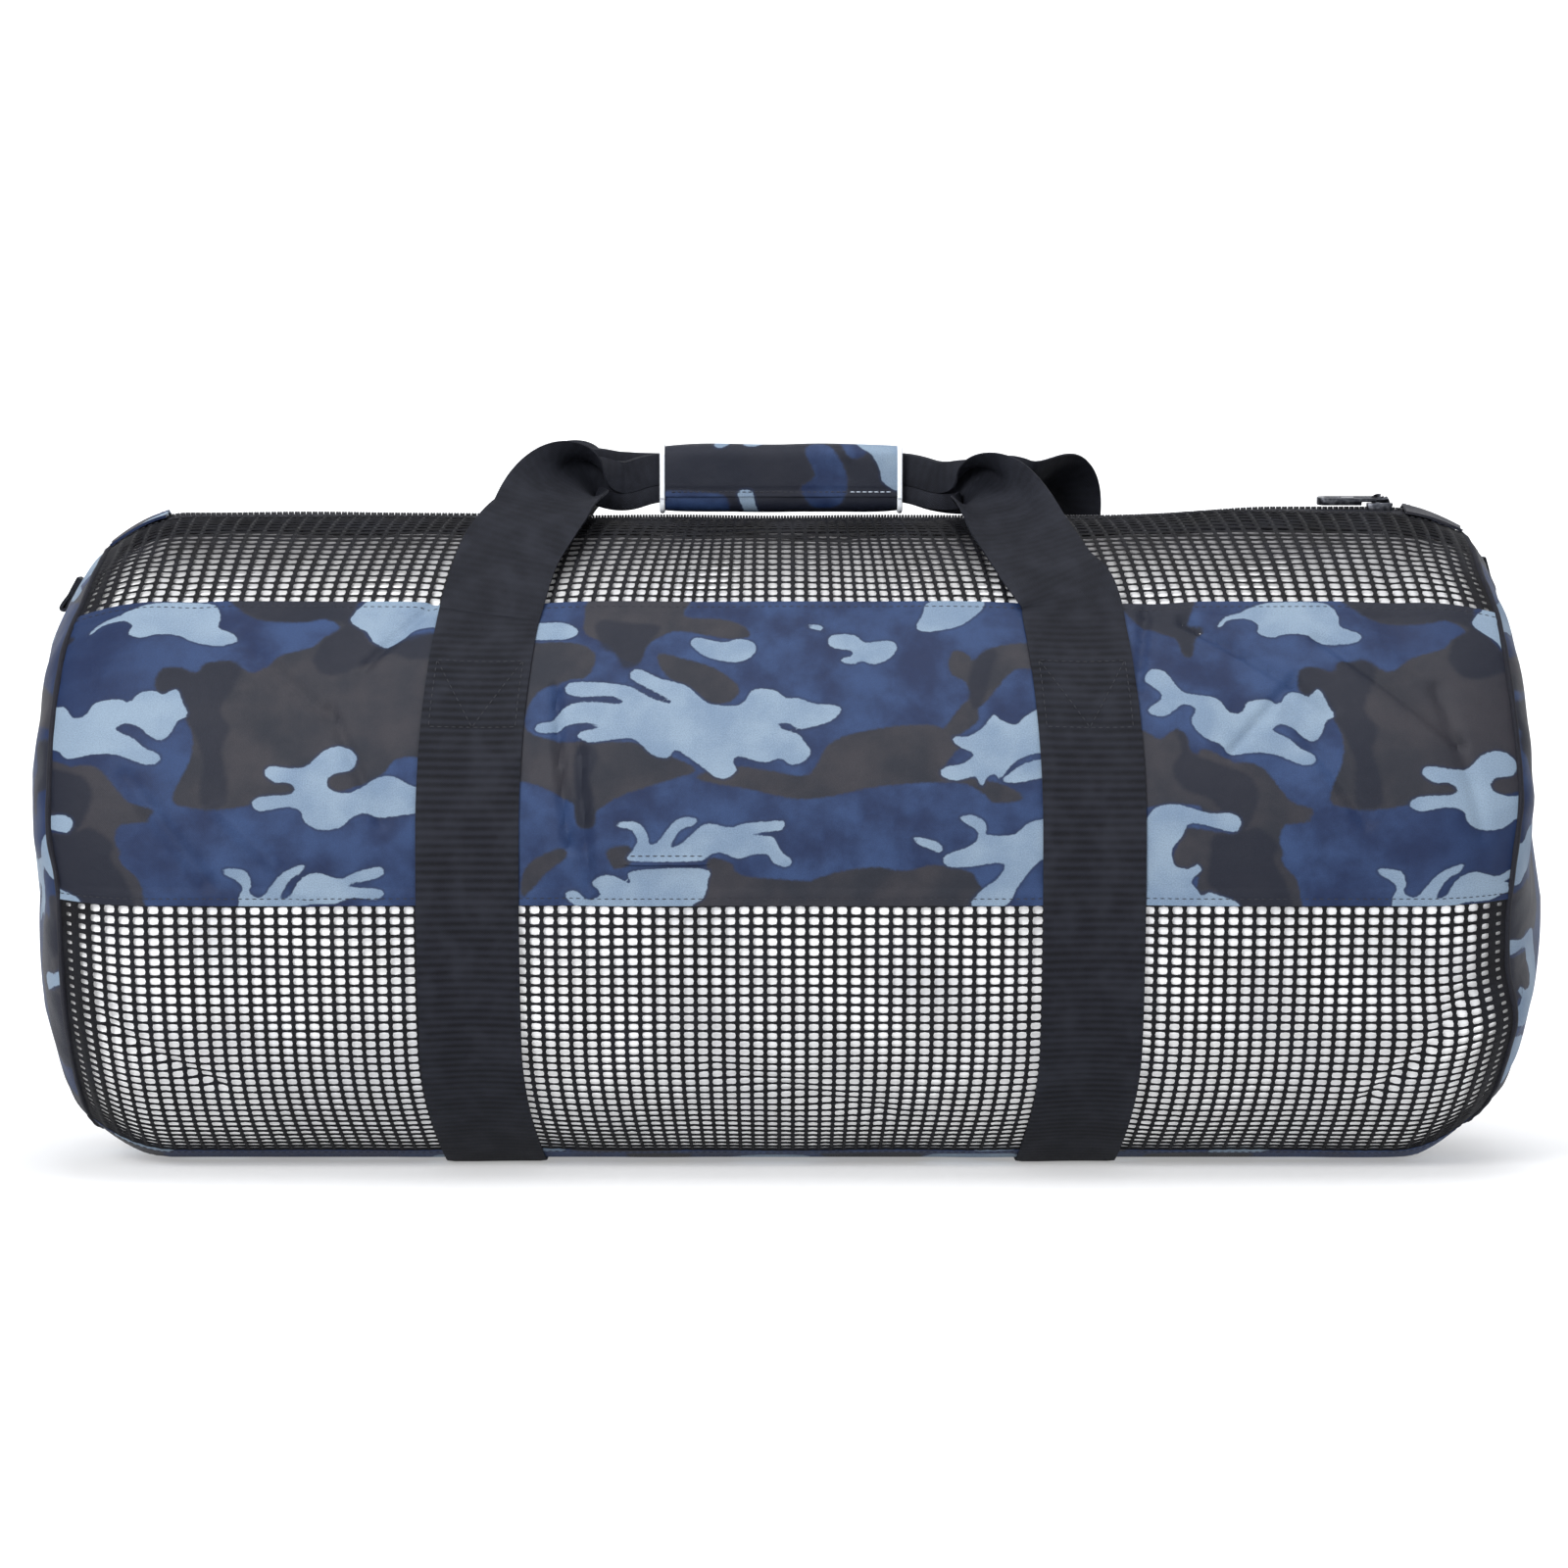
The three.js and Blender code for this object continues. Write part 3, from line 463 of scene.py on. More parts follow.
# The print on the front of the bag: outlines of its patches in millimetres, as (x, y) with x
# along the bag and y up round it from the middle of the front.
lightPatches = [
    [(-339, 122), (-334, 128), (-326, 131), (-313, 137), (-288, 137), (-282, 129), (-282, 122),
     (-275, 118), (-273, 115), (-279, 111), (-291, 113), (-299, 117), (-308, 117), (-314, 115),
     (-320, 118), (-319, 123), (-324, 127), (-333, 126), (-337, 122)],
    [(179, 91), (182, 96), (189, 95), (196, 84), (203, 82), (213, 80), (218, 73), (224, 73),
     (228, 79), (238, 80), (243, 78), (247, 83), (253, 84), (257, 82), (262, 85), (265, 79),
     (268, 71), (264, 68), (261, 61), (257, 58), (252, 61), (248, 65), (242, 67), (238, 64),
     (246, 59), (251, 54), (257, 51), (257, 47), (251, 46), (239, 51), (229, 52), (217, 51),
     (212, 56), (204, 60), (199, 68), (202, 74), (196, 77), (187, 71), (180, 72), (179, 75),
     (185, 79), (186, 83), (182, 87)],
    [(-259, 27), (-254, 30), (-241, 31), (-238, 34), (-242, 37), (-248, 37), (-253, 41),
     (-251, 45), (-241, 44), (-233, 45), (-226, 52), (-219, 55), (-213, 54), (-209, 49),
     (-212, 43), (-220, 41), (-223, 37), (-220, 33), (-211, 32), (-199, 39), (-191, 40),
     (-183, 36), (-173, 32), (-173, 24), (-186, 21), (-197, 20), (-204, 22), (-210, 20),
     (-216, 15), (-226, 14), (-233, 18), (-235, 23), (-242, 25), (-253, 23), (-257, 24)],
    [(-272, -5), (-262, -6), (-259, -12), (-260, -16), (-256, -19), (-252, -17), (-246, -9),
     (-240, -5), (-233, -3), (-235, -7), (-240, -10), (-245, -19), (-240, -18), (-235, -10),
     (-227, -7), (-216, -10), (-209, -7), (-197, -4), (-195, -8), (-204, -11), (-212, -12),
     (-210, -14), (-197, -15), (-195, -18), (-199, -20), (-210, -19), (-219, -22), (-231, -22),
     (-239, -25), (-242, -29), (-267, -29), (-265, -23), (-265, -19), (-263, -14), (-267, -10),
     (-271, -8)],
    [(-83, 17), (-75, 18), (-70, 16), (-67, 11), (-66, 7), (-62, 8), (-55, 17), (-49, 20),
     (-43, 19), (-45, 16), (-51, 14), (-56, 6), (-51, 7), (-42, 15), (-37, 17), (-27, 15),
     (-20, 17), (-8, 18), (-1, 18), (-2, 14), (-10, 13), (-19, 11), (-11, 11), (-6, 10), (-2, 3),
     (3, -1), (0, -4), (-6, -2), (-9, 2), (-16, 2), (-23, 0), (-32, 3), (-39, 1), (-40, -1),
     (-75, -1), (-74, 4), (-72, 9), (-75, 14), (-80, 15)],
    [(-107, -17), (-102, -16), (-96, -20), (-90, -18), (-91, -15), (-94, -12), (-91, -9),
     (-85, -8), (-78, -11), (-75, -12), (-74, -6), (-40, -5), (-38, -11), (-40, -19), (-46, -23),
     (-52, -29), (-103, -29), (-100, -25), (-105, -21)],
    [(-111, 87), (-105, 89), (-82, 87), (-68, 80), (-58, 77), (-60, 80), (-75, 88), (-80, 92),
     (-78, 96), (-73, 95), (-65, 91), (-51, 87), (-45, 82), (-38, 77), (-25, 76), (-20, 79),
     (-17, 84), (-12, 85), (-5, 84), (0, 80), (6, 80), (14, 77), (25, 76), (27, 73), (22, 68),
     (13, 65), (6, 64), (1, 67), (-5, 66), (-2, 64), (6, 61), (9, 57), (12, 52), (8, 47), (2, 46),
     (-3, 49), (-11, 47), (-23, 50), (-26, 47), (-24, 43), (-29, 39), (-35, 40), (-40, 44),
     (-50, 51), (-55, 53), (-58, 49), (-66, 51), (-74, 58), (-81, 59), (-96, 57), (-102, 59),
     (-102, 62), (-92, 65), (-99, 67), (-108, 66), (-113, 63), (-120, 62), (-124, 64), (-122, 67),
     (-116, 68), (-113, 73), (-107, 77), (-98, 78), (-82, 77), (-87, 81), (-96, 81), (-105, 81),
     (-110, 83)],
    [(-50, 112), (-46, 115), (-33, 112), (-24, 114), (-17, 112), (-15, 107), (-19, 102),
     (-26, 100), (-37, 102), (-45, 106)],
    [(22, 115), (28, 117), (36, 116), (41, 112), (54, 113), (58, 110), (56, 105), (51, 101),
     (44, 99), (39, 101), (34, 99), (29, 100), (28, 102), (34, 104), (33, 107), (26, 108),
     (22, 110)],
    [(10, 122), (14, 123), (18, 122), (19, 119), (14, 120)],
    [(70, 122), (74, 129), (80, 138), (105, 140), (106, 134), (99, 127), (92, 122), (80, 119),
     (72, 119)],
    [(-222, 127), (-217, 136), (-210, 140), (-173, 140), (-174, 123), (-182, 122), (-190, 119),
     (-194, 114), (-201, 110), (-208, 112), (-212, 118), (-218, 122)],
    [(-138, 124), (-120, 125), (-112, 122), (-109, 118), (-112, 115), (-120, 114), (-138, 116)],
    [(75, 42), (79, 45), (86, 46), (92, 51), (85, 55), (82, 59), (84, 60), (90, 60), (98, 65),
     (103, 71), (107, 68), (114, 66), (118, 70), (127, 75), (137, 74), (137, 52), (124, 52),
     (113, 48), (106, 41), (104, 38), (102, 41), (98, 40), (95, 35), (92, 40), (84, 38), (78, 39)],
    [(105, 38), (111, 43), (118, 47), (131, 49), (132, 42), (122, 39), (112, 37)],
    [(61, 10), (66, 10), (73, 8), (76, 5), (74, 3), (69, 5), (64, 7)],
    [(84, 20), (90, 21), (96, 18), (97, 14), (96, 12), (103, 11), (111, 12), (117, 17), (124, 19),
     (137, 20), (137, 3), (125, 0), (118, -6), (112, -14), (106, -23), (90, -23), (94, -16),
     (102, -10), (106, -4), (103, -2), (95, -3), (87, -4), (79, -4), (76, -1), (78, 2), (89, 6),
     (93, 10), (92, 14), (87, 17)],
    [(173, 15), (177, 23), (183, 26), (191, 26), (205, 22), (215, 22), (220, 19), (219, 14),
     (215, 13), (200, 17), (194, 16), (192, 11), (187, 5), (187, 0), (189, -4), (195, -5),
     (199, -3), (201, -6), (196, -11), (201, -18), (200, -23), (171, -23), (170, 5)],
    [(-355, -17), (-348, -18), (-339, -22), (-339, -29), (-355, -29)],
]
earthPatches = [
    [(-305, 88), (-303, 96), (-296, 97), (-288, 94), (-285, 100), (-275, 102), (-269, 98),
     (-262, 95), (-252, 104), (-238, 109), (-233, 115), (-226, 121), (-234, 127), (-243, 125),
     (-256, 125), (-266, 127), (-275, 134), (-275, 141), (-222, 141), (-221, 134), (-214, 118),
     (-206, 110), (-192, 113), (-175, 118), (-135, 113), (-111, 112), (-99, 105), (-101, 92),
     (-110, 90), (-125, 83), (-128, 64), (-105, 57), (-76, 57), (-54, 49), (-44, 43), (-54, 39),
     (-73, 33), (-83, 29), (-95, 22), (-107, 29), (-128, 38), (-148, 34), (-173, 48), (-189, 49),
     (-197, 40), (-211, 34), (-231, 29), (-259, 26), (-269, 24), (-283, 24), (-294, 27),
     (-293, 35), (-288, 47), (-287, 59), (-290, 68), (-295, 77), (-302, 81)],
    [(-357, 52), (-346, 50), (-338, 45), (-330, 34), (-318, 24), (-307, 22), (-304, 18),
     (-311, 17), (-322, 15), (-320, 7), (-317, -3), (-311, -10), (-309, -19), (-312, -29),
     (-357, -29), (-356, 0), (-352, 10), (-340, 12), (-344, 17), (-356, 20)],
    [(-103, 141), (-55, 141), (-55, 129), (-35, 127), (-23, 123), (-18, 116), (-28, 114),
     (-55, 119), (-64, 117), (-73, 110), (-76, 100), (-85, 102), (-94, 111), (-105, 117),
     (-107, 126)],
    [(-67, 105), (-52, 102), (-37, 97), (-27, 90), (-23, 84), (-28, 78), (-38, 77), (-46, 84),
     (-61, 92)],
    [(-44, 39), (-27, 45), (-8, 43), (11, 41), (22, 57), (45, 64), (70, 66), (82, 62), (89, 57),
     (82, 51), (77, 41), (94, 39), (108, 35), (115, 29), (101, 27), (95, 32), (82, 37), (45, 35),
     (21, 30), (4, 29), (-15, 33)],
    [(84, 100), (88, 107), (94, 105), (97, 101), (105, 108), (121, 112), (138, 111), (138, 94),
     (121, 97), (113, 93), (102, 80), (96, 74), (95, 67), (81, 59), (79, 64), (87, 75), (93, 81),
     (91, 89), (85, 93)],
    [(166, 64), (176, 63), (183, 59), (191, 64), (196, 60), (198, 52), (212, 46), (223, 47),
     (232, 44), (241, 32), (246, 27), (255, 24), (254, 21), (245, 19), (240, 14), (239, 7),
     (241, 2), (233, 0), (230, -4), (233, -10), (228, -16), (224, -23), (201, -23), (201, -10),
     (190, -7), (187, 0), (190, 7), (193, 15), (217, 12), (220, 17), (212, 22), (197, 26),
     (183, 26), (168, 28)],
    [(10, -12), (23, -7), (43, -4), (57, -6), (72, -3), (88, -6), (92, -10), (92, -23), (11, -23),
     (9, -17)],
    [(-128, -10), (-124, -2), (-110, 5), (-106, 1), (-116, -7), (-122, -14), (-128, -19)],
    [(-38, 0), (-27, -2), (-22, -8), (-3, -10), (13, -11), (27, -10), (21, -23), (-41, -26),
     (-38, -12)],
    [(175, 141), (208, 141), (208, 132), (205, 126), (212, 122), (207, 115), (204, 105),
     (200, 105), (198, 115), (192, 118), (185, 122), (179, 127)],
    [(-104, 54), (-96, 57), (-92, 49), (-96, 39), (-93, 29), (-93, 16), (-101, 16), (-103, 29)],
    [(-87, 4), (-76, 6), (-75, -2), (-83, -5)],
    [(283, 32), (297, 34), (303, 28), (293, 27)],
]
darkPatches = [
    [(-305, 88), (-303, 96), (-296, 97), (-288, 94), (-285, 100), (-275, 102), (-269, 98),
     (-271, 88), (-276, 74), (-271, 64), (-274, 53), (-271, 39), (-271, 26), (-281, 24),
     (-283, 34), (-282, 47), (-286, 60), (-290, 68), (-295, 77), (-302, 81)],
    [(-235, 108), (-232, 115), (-224, 123), (-234, 127), (-243, 125), (-256, 125), (-266, 127),
     (-275, 134), (-275, 141), (-222, 141), (-221, 134), (-214, 118), (-206, 110), (-189, 117),
     (-175, 118), (-174, 105), (-188, 102), (-199, 105), (-211, 99), (-223, 93), (-231, 94),
     (-236, 101)],
    [(-354, -10), (-350, 10), (-339, 12), (-330, 15), (-320, 7), (-322, 0), (-317, -10),
     (-313, -22), (-317, -29), (-340, -29), (-349, -17)],
    [(-101, 125), (-82, 124), (-67, 122), (-73, 110), (-76, 99), (-84, 97), (-89, 105), (-96, 109)],
    [(-103, 52), (-96, 56), (-92, 49), (-96, 39), (-93, 29), (-93, 16), (-100, 16), (-102, 29)],
    [(93, 89), (97, 101), (105, 108), (109, 105), (104, 94), (100, 81), (95, 74), (92, 80)],
    [(191, 64), (196, 60), (198, 52), (212, 46), (224, 41), (229, 32), (226, 20), (220, 10),
     (214, 4), (205, 5), (208, 12), (217, 12), (220, 17), (212, 22), (205, 29), (193, 34),
     (188, 44), (193, 53)],
    [(175, 141), (208, 141), (208, 132), (205, 126), (212, 122), (207, 115), (204, 105),
     (200, 105), (198, 115), (192, 118), (185, 122), (179, 127)],
]


# A closed curve through the points of an outline.
def roundedOutline(points, parts=4):
    near = [np.roll(np.array(points, float), shift, 0)[:, None] for shift in (1, 0, -1, -2)]
    share = (np.arange(parts) / parts)[None, :, None]
    curve = (
        2 * near[1]
        + (near[2] - near[0]) * share
        + (2 * near[0] - 5 * near[1] + 4 * near[2] - near[3]) * share**2
        + (3 * near[1] - near[0] - 3 * near[2] + near[3]) * share**3
    )
    return curve.reshape(-1, 2) / 2


# Distance from places to a closed curve, negative inside it.
def outlineDistance(places, curve):
    run = np.roll(curve, -1, 0) - curve
    away = places[:, None] - curve[None]
    share = np.clip((away * run).sum(2) / np.maximum((run * run).sum(1), 1e-9), 0, 1)
    distance = np.linalg.norm(away - share[..., None] * run, axis=2).min(1)
    ahead = np.roll(away[..., 1], -1, 1)
    crossed = (away[..., 1] > 0) != (ahead > 0)
    steep = np.where(np.abs(run[:, 1]) < 1e-9, 1e-9, run[:, 1])
    meets = away[..., 0] - away[..., 1] * run[:, 0] / steep < 0
    inside = (crossed & meets).sum(1) % 2 == 1
    return np.where(inside, -distance, distance)


# Distance in millimetres to the nearest patch of a chart, up to the reach of the print's edges.
def patchDistance(u, v, chart, reach=7.0):
    places = np.stack([u.ravel(), v.ravel()], -1)
    nearest = np.full(len(places), reach)
    for up in range(-3, 4):
        for ahead in range(-2, 3):
            move = np.array(camo["nextRow"]) * up + np.array([camo["period"] * ahead, 0])
            for outline in chart:
                curve = roundedOutline(outline) + move
                inReach = (places > curve.min(0) - reach) & (places < curve.max(0) + reach)
                some = np.flatnonzero(inReach.all(1))
                for part in np.array_split(some, len(some) // 4000 + 1):
                    if len(part):
                        found = outlineDistance(places[part], curve)
                        nearest[part] = np.minimum(nearest[part], found)
    return nearest.reshape(u.shape + (1,))


# The print and the cloth's own coordinates, in millimetres, as values on the points of a piece.
def camoValues(u, v, shift=(0, 0)):
    u, v = np.broadcast_arrays(u + shift[0], v + shift[1])
    return {
        "light": patchDistance(u, v, lightPatches),
        "earth": patchDistance(u, v, earthPatches),
        "dark": patchDistance(u, v, darkPatches),
        "cloth": np.stack([u, v, np.zeros_like(u)], -1),
    }


def weaveHeight(place, pitch):
    rate = 2 * math.pi / pitch
    warp = (place.part("X") * rate).sine()
    weft = (place.part("Y") * rate).sine()
    return warp * weft


def makeCamoMaterial():
    material, shader, start = newMaterial("camoCloth", {"Specular IOR Level": 0.22})
    place = start.place("cloth")
    fine = start.noise(place, 0.45, 3.0)
    broad = start.noise(place, 0.035, 4.0)
    grain = start.noise(place, 1.6, 3.0)
    wander = (fine - 0.5) * 1.2
    light = start.value("light") + wander
    earth = start.value("earth") + wander * 1.5
    dark = start.value("dark") + wander * 1.5
    # painted shade: towards the ends the tone mask drops, which deepens the navy there, so worn carries
    # this painted shade as well as random wear
    endShade = place.part("X").size().step(*camo["endShade"]) * 0.65 + 0.35
    worn = broad.step(0.32, 0.68) * endShade
    navy = worn.blend(camo["deepNavy"], camo["navy"])
    brown = worn.blend(camo["earth"], camo["deepEarth"])
    cloth = earth.step(0.9, -0.9).blend(navy, brown)
    cloth = (dark.step(1.6, -1.6) * 0.85).blend(cloth, camo["dark"])
    cloth = (light.step(1.7, 0.5) * 0.55).blend(cloth, camo["edge"])
    color = light.step(0.35, -0.35).blend(cloth, worn.blend(camo["light"], camo["deepLight"]))
    speckle = grain.step(0.25, 0.75).blend((0.84, 0.84, 0.85, 1), (1.16, 1.16, 1.15, 1))
    settings = {"data_type": "RGBA", "blend_type": "MULTIPLY"}
    color = start.node("ShaderNodeMix", settings, {0: 1.0, 6: color, 7: speckle}, 2)
    height = weaveHeight(place, camo["weave"]) * 0.4 + fine * 0.5 + broad * 14
    join(
        shader,
        color=color,
        roughness=broad * 0.2 + grain * 0.14 + 0.42,
        normal=start.bump(height, 0.00016, 0.6),
    )
    return material


# Black coated net
def makeNetMaterial():
    material, shader, start = newMaterial("blackNet", {"Specular IOR Level": 0.14})
    place = start.objectPlace()
    grain = start.noise(place, 2600, 2.0)
    worn = start.noise(place, 40, 3.0)
    color = (worn * 0.7 + grain * 0.3).step(0.3, 0.8).blend(tint(9, 9, 12), tint(24, 25, 31))
    join(
        shader,
        color=color,
        roughness=worn * 0.2 + 0.5,
        normal=start.bump(grain, 0.0001, 0.35),
    )
    return material


# Ribbed webbing: cloth runs along the strap, across it, and holds how strong its ribs are
webbing = {
    "width": 50,
    "wall": 1.8,
    "rib": 4.2,
    "ribDepth": 0.22,
    "color": tint(29, 31, 39),
    "deep": tint(11, 12, 16),
    "worn": tint(39, 41, 49),
    "place": 152,  # middle of the bag to the middle of a strap
    "shift": -2.5,
    "end": 45,  # where a strap leaves the body and becomes a handle
    "foldSlack": 0.6,
    "edge": 0.55,  # thickness at the selvedges, as a share of the wall
    "joinReach": (8, 26),  # distances from a strap's end between which the smoothing fades
    "softening": 60,  # passes of that smoothing
}


def makeWebbingMaterial():
    material, shader, start = newMaterial("blackWebbing", {"Specular IOR Level": 0.12})
    place = start.place("cloth")
    ribs = (place.part("X") * (2 * math.pi / webbing["rib"])).sine() * place.part("Z")
    threads = (place.part("Y") * (2 * math.pi / 1.1)).sine()
    picks = (place.part("X") * (2 * math.pi / 0.9)).sine()
    grain = start.noise(place, 1.3, 3.0)
    broad = start.noise(place, 0.06, 2.0)
    shade = ribs * 0.2 + threads * picks * 0.2 + grain * 0.5 + 0.15
    color = shade.step(0.0, 0.8).blend(webbing["deep"], webbing["color"])
    color = (broad.step(0.35, 0.75) * 0.45).blend(color, webbing["worn"])
    height = threads * picks * 0.5 + grain * 0.5 + ribs * 0.4
    join(
        shader,
        color=color,
        roughness=grain * 0.2 + 0.62,
        normal=start.bump(height, 0.00018, 0.6),
    )
    return material


def makeTapeMaterial(name, color, deep, pitch):
    material, shader, start = newMaterial(name, {"Specular IOR Level": 0.15})
    place = start.objectPlace()
    lines = (place.part("X") * (2000 * math.pi / pitch)).sine()
    crossing = (place.part("Z") * (2000 * math.pi / pitch)).sine()
    grain = start.noise(place, 900, 3.0)
    mixed = (lines * crossing * 0.3 + grain).step(0.1, 0.9)
    join(
        shader,
        color=mixed.blend(deep, color),
        roughness=grain * 0.2 + 0.65,
        normal=start.bump(lines * crossing * 0.5 + grain, 0.00012, 0.5),
    )
    return material


liner = {
    "clear": 1.5,
    "wall": 0.9,
    "step": 7.5,
    "slot": 13,
    "under": 2.3,  # further in where it goes under the zip tapes
    "about": 3,  # it keeps clear of the deepest fold this far round each place
    "wrinkle": 0.9,
    "shadeFrom": 0.272,  # heights in metres between which it turns grey, painted shade under the net's hem
    "shadeTo": 0.322,
    "glow": 0.22,  # painted light: the liner glows though it is no lamp, standing in for the light that reaches it through the net, most of it low down
    "dimFrom": 0.03,
    "dimTo": 0.2,
}


def makeLinerMaterial():
    material, shader, start = newMaterial(
        "paleLiner", {"Specular IOR Level": 0.35, "Emission Strength": liner["glow"]}
    )
    place = start.objectPlace()
    soft = start.noise(place, 14, 4.0)
    grain = start.noise(place, 700, 2.0)
    color = soft.step(0.25, 0.7).blend(tint(226, 227, 231), tint(250, 250, 250))
    # painted shade: the liner turns grey towards the top, under the net's hem
    high = (place.part("Z") + (soft - 0.5) * 0.02).step(liner["shadeFrom"], liner["shadeTo"])
    color = high.blend(color, tint(112, 111, 114))
    # painted light: the liner's emission, full below dimFrom and a fifth of it above dimTo, stands in
    # for light through the net; none where it is grey
    low = place.part("Z").step(liner["dimTo"], liner["dimFrom"])
    glow = (low * 0.8 + 0.2).blend((0, 0, 0, 1), (1, 1, 1, 1))
    join(
        shader,
        color=color,
        glow=high.blend(glow, (0, 0, 0, 1)),
        roughness=soft * 0.2 + 0.42,
        normal=start.bump(soft * 2 + grain * 0.1, 0.0012, 0.5),
    )
    return material


def makeMetalMaterial():
    material, shader, start = newMaterial("greyMetal", {"Metallic": 1.0})
    place = start.objectPlace()
    scuffs = start.noise(place, 420, 4.0)
    broad = start.noise(place, 60, 2.0)
    color = scuffs.step(0.35, 0.75).blend(tint(58, 60, 66), tint(104, 106, 112))
    join(
        shader,
        color=color,
        roughness=scuffs * 0.25 + broad * 0.1 + 0.2,
        normal=start.bump(scuffs, 0.00008, 0.35),
    )
    return material


def makePlasticMaterial():
    material, shader, start = newMaterial("blackTeeth", {"Specular IOR Level": 0.5})
    grain = start.noise(start.objectPlace(), 1500, 2.0)
    color = grain.step(0.3, 0.7).blend(tint(24, 24, 28), tint(40, 41, 46))
    join(shader, color=color, roughness=grain * 0.2 + 0.3, normal=start.bump(grain, 0.00005, 0.3))
    return material


def makeThreadMaterial(name, color, deep):
    material, shader, start = newMaterial(name, {"Specular IOR Level": 0.4})
    grain = start.noise(start.objectPlace(), 2500, 2.0)
    tone = grain.step(0.3, 0.7).blend(deep, color)
    join(shader, color=tone, roughness=grain * 0.2 + 0.5, normal=start.bump(grain, 0.00008, 0.5))
    return material


camoCloth = makeCamoMaterial()
blackNet = makeNetMaterial()
blackWebbing = makeWebbingMaterial()
blackTape = makeTapeMaterial("blackTape", tint(40, 41, 48), tint(20, 20, 25), 1.4)
blackPiping = makeTapeMaterial("blackPiping", tint(38, 39, 47), tint(18, 18, 23), 1.0)
paleEdging = makeTapeMaterial("paleEdging", tint(236, 239, 243), tint(205, 211, 220), 1.0)
paleLiner = makeLinerMaterial()
greyMetal = makeMetalMaterial()
blackTeeth = makePlasticMaterial()
darkThread = makeThreadMaterial("darkThread", tint(30, 32, 42), tint(14, 15, 22))
paleThread = makeThreadMaterial("paleThread", tint(205, 214, 226), tint(160, 172, 190))
print("materials made")

# Net panels: each cell is a rounded gap, with strands that are thicker where they cross.
net = {
    "pitch": 6.8,
    "rowPitch": 5.3,
    "hoop": 1.75,  # width of the strands that run round the bag
    "row": 1.4,
    "corner": 0.84,  # how square the gaps are
    "knot": 0.35,  # extra thickness where strands cross
    "crown": 0.0,  # heights of the strands' fronts, sides and backs off the skin
    "edge": -0.55,
    "back": -1.15,
    "uneven": 0.16,
    "sway": 0.12,  # how far the rows wander, as a share of half a gap
    "closing": 0.55,  # how much the gaps close up at the ends of a panel
}
cellSides = np.array([(-1, -1), (0, -1), (1, -1), (1, 0), (1, 1), (0, 1), (-1, 1), (-1, 0)])


def makeNet(name, low, high, back):
    columns = round(2 * barrel["panelHalf"] / net["pitch"])
    rows = round((high - low) * arc / net["rowPitch"])
    i, j = np.meshgrid(np.arange(2 * columns + 1), np.arange(2 * rows + 1), indexing="ij")
    lattice = np.arange(i.size).reshape(i.shape)
    knots = ((i % 2 == 0) & (j % 2 == 0)) * net["knot"]
    shakes = chance.normal(0, net["uneven"], (2,) + i.shape)

    def place(a, b, offset, shake=(0, 0)):
        along = -barrel["panelHalf"] + a / columns * barrel["panelHalf"] + shake[0]
        sway = net["sway"] * np.sin(a / 5.1) * np.sin(b / 3.3)
        around = low + (high - low) * (b + sway) / (2 * rows)
        around = np.clip(around + shake[1] / arc, low, high)
        along = np.clip(along, -barrel["panelHalf"], barrel["panelHalf"])
        return skin(along, 180 - around if back else around, offset)

    front = place(i, j, net["crown"] + knots, shakes)
    behind = place(i, j, net["back"], shakes)
    column, row = np.meshgrid(np.arange(columns), np.arange(rows), indexing="ij")
    square = np.where(np.abs(cellSides).sum(1) == 2, net["corner"], 1.0)
    half = np.array([1 - net["hoop"] / net["pitch"], 1 - net["row"] / net["rowPitch"]])
    toEnd = np.minimum(column, columns - 1 - column)[..., None]
    square = square * (1 - net["closing"] * (1 - smooth(toEnd, -0.5, 2.5)))
    a = 2 * column[..., None] + 1 + cellSides[:, 0] * half[0] * square
    b = 2 * row[..., None] + 1 + cellSides[:, 1] * half[1] * square
    edges = place(a, b, net["edge"])
    points = np.concatenate([front.reshape(-1, 3), behind.reshape(-1, 3), edges.reshape(-1, 3)])
    total = i.size
    hole = 2 * total + np.arange(columns * rows * 8).reshape(columns, rows, 8)
    faces = []
    for side in range(8):
        following = (side + 1) % 8
        (x0, y0), (x1, y1) = cellSides[side], cellSides[following]
        first = lattice[2 * column + 1 + x0, 2 * row + 1 + y0].ravel()
        second = lattice[2 * column + 1 + x1, 2 * row + 1 + y1].ravel()
        near, far = hole[..., side].ravel(), hole[..., following].ravel()
        faces.append(np.stack([first, second, far, near], -1))
        faces.append(np.stack([near, far, second + total, first + total], -1))
    for line in (lattice[:, 0], lattice[:, -1], lattice[0], lattice[-1]):
        faces.append(np.stack([line[:-1], line[1:], line[1:] + total, line[:-1] + total], -1))
    return makePiece(name, points, faces, blackNet, replaced=[nodeOf(name)], angle=75)


# meshUpperFront stands for the node mesh_upper_front
def nodeOf(name):
    return "".join("_" + letter.lower() if letter.isupper() else letter for letter in name)


nets = [
    makeNet("meshUpperFront", barrel["bandTop"], barrel["hem"], False),
    makeNet("meshUpperBack", barrel["bandTop"], barrel["hem"], True),
    makeNet("meshLowerFront", barrel["ground"], barrel["bandBottom"], False),
    makeNet("meshLowerBack", barrel["ground"], barrel["bandBottom"], True),
]
print("nets made")

# Camouflage panels of the barrel, with turned hems that stand a little proud
band = {
    "step": 1.95,
    "coarser": 1.5,  # times the step at the back
    "printBack": (236, 0),  # where the back lies on the print
    "printBottom": (-118, 0),
    "hem": 7,  # width of the turned edge
    "proud": 0.7,
    "groove": 0.35,
    "stitch": 3.4,  # from the edge to its stitches
    "tuckFrom": -76,  # a short stitched tuck near the lower edge of the front
    "tuckTo": -40,
    "tuckAt": -3.0,
    "tuckLift": 1.5,
}


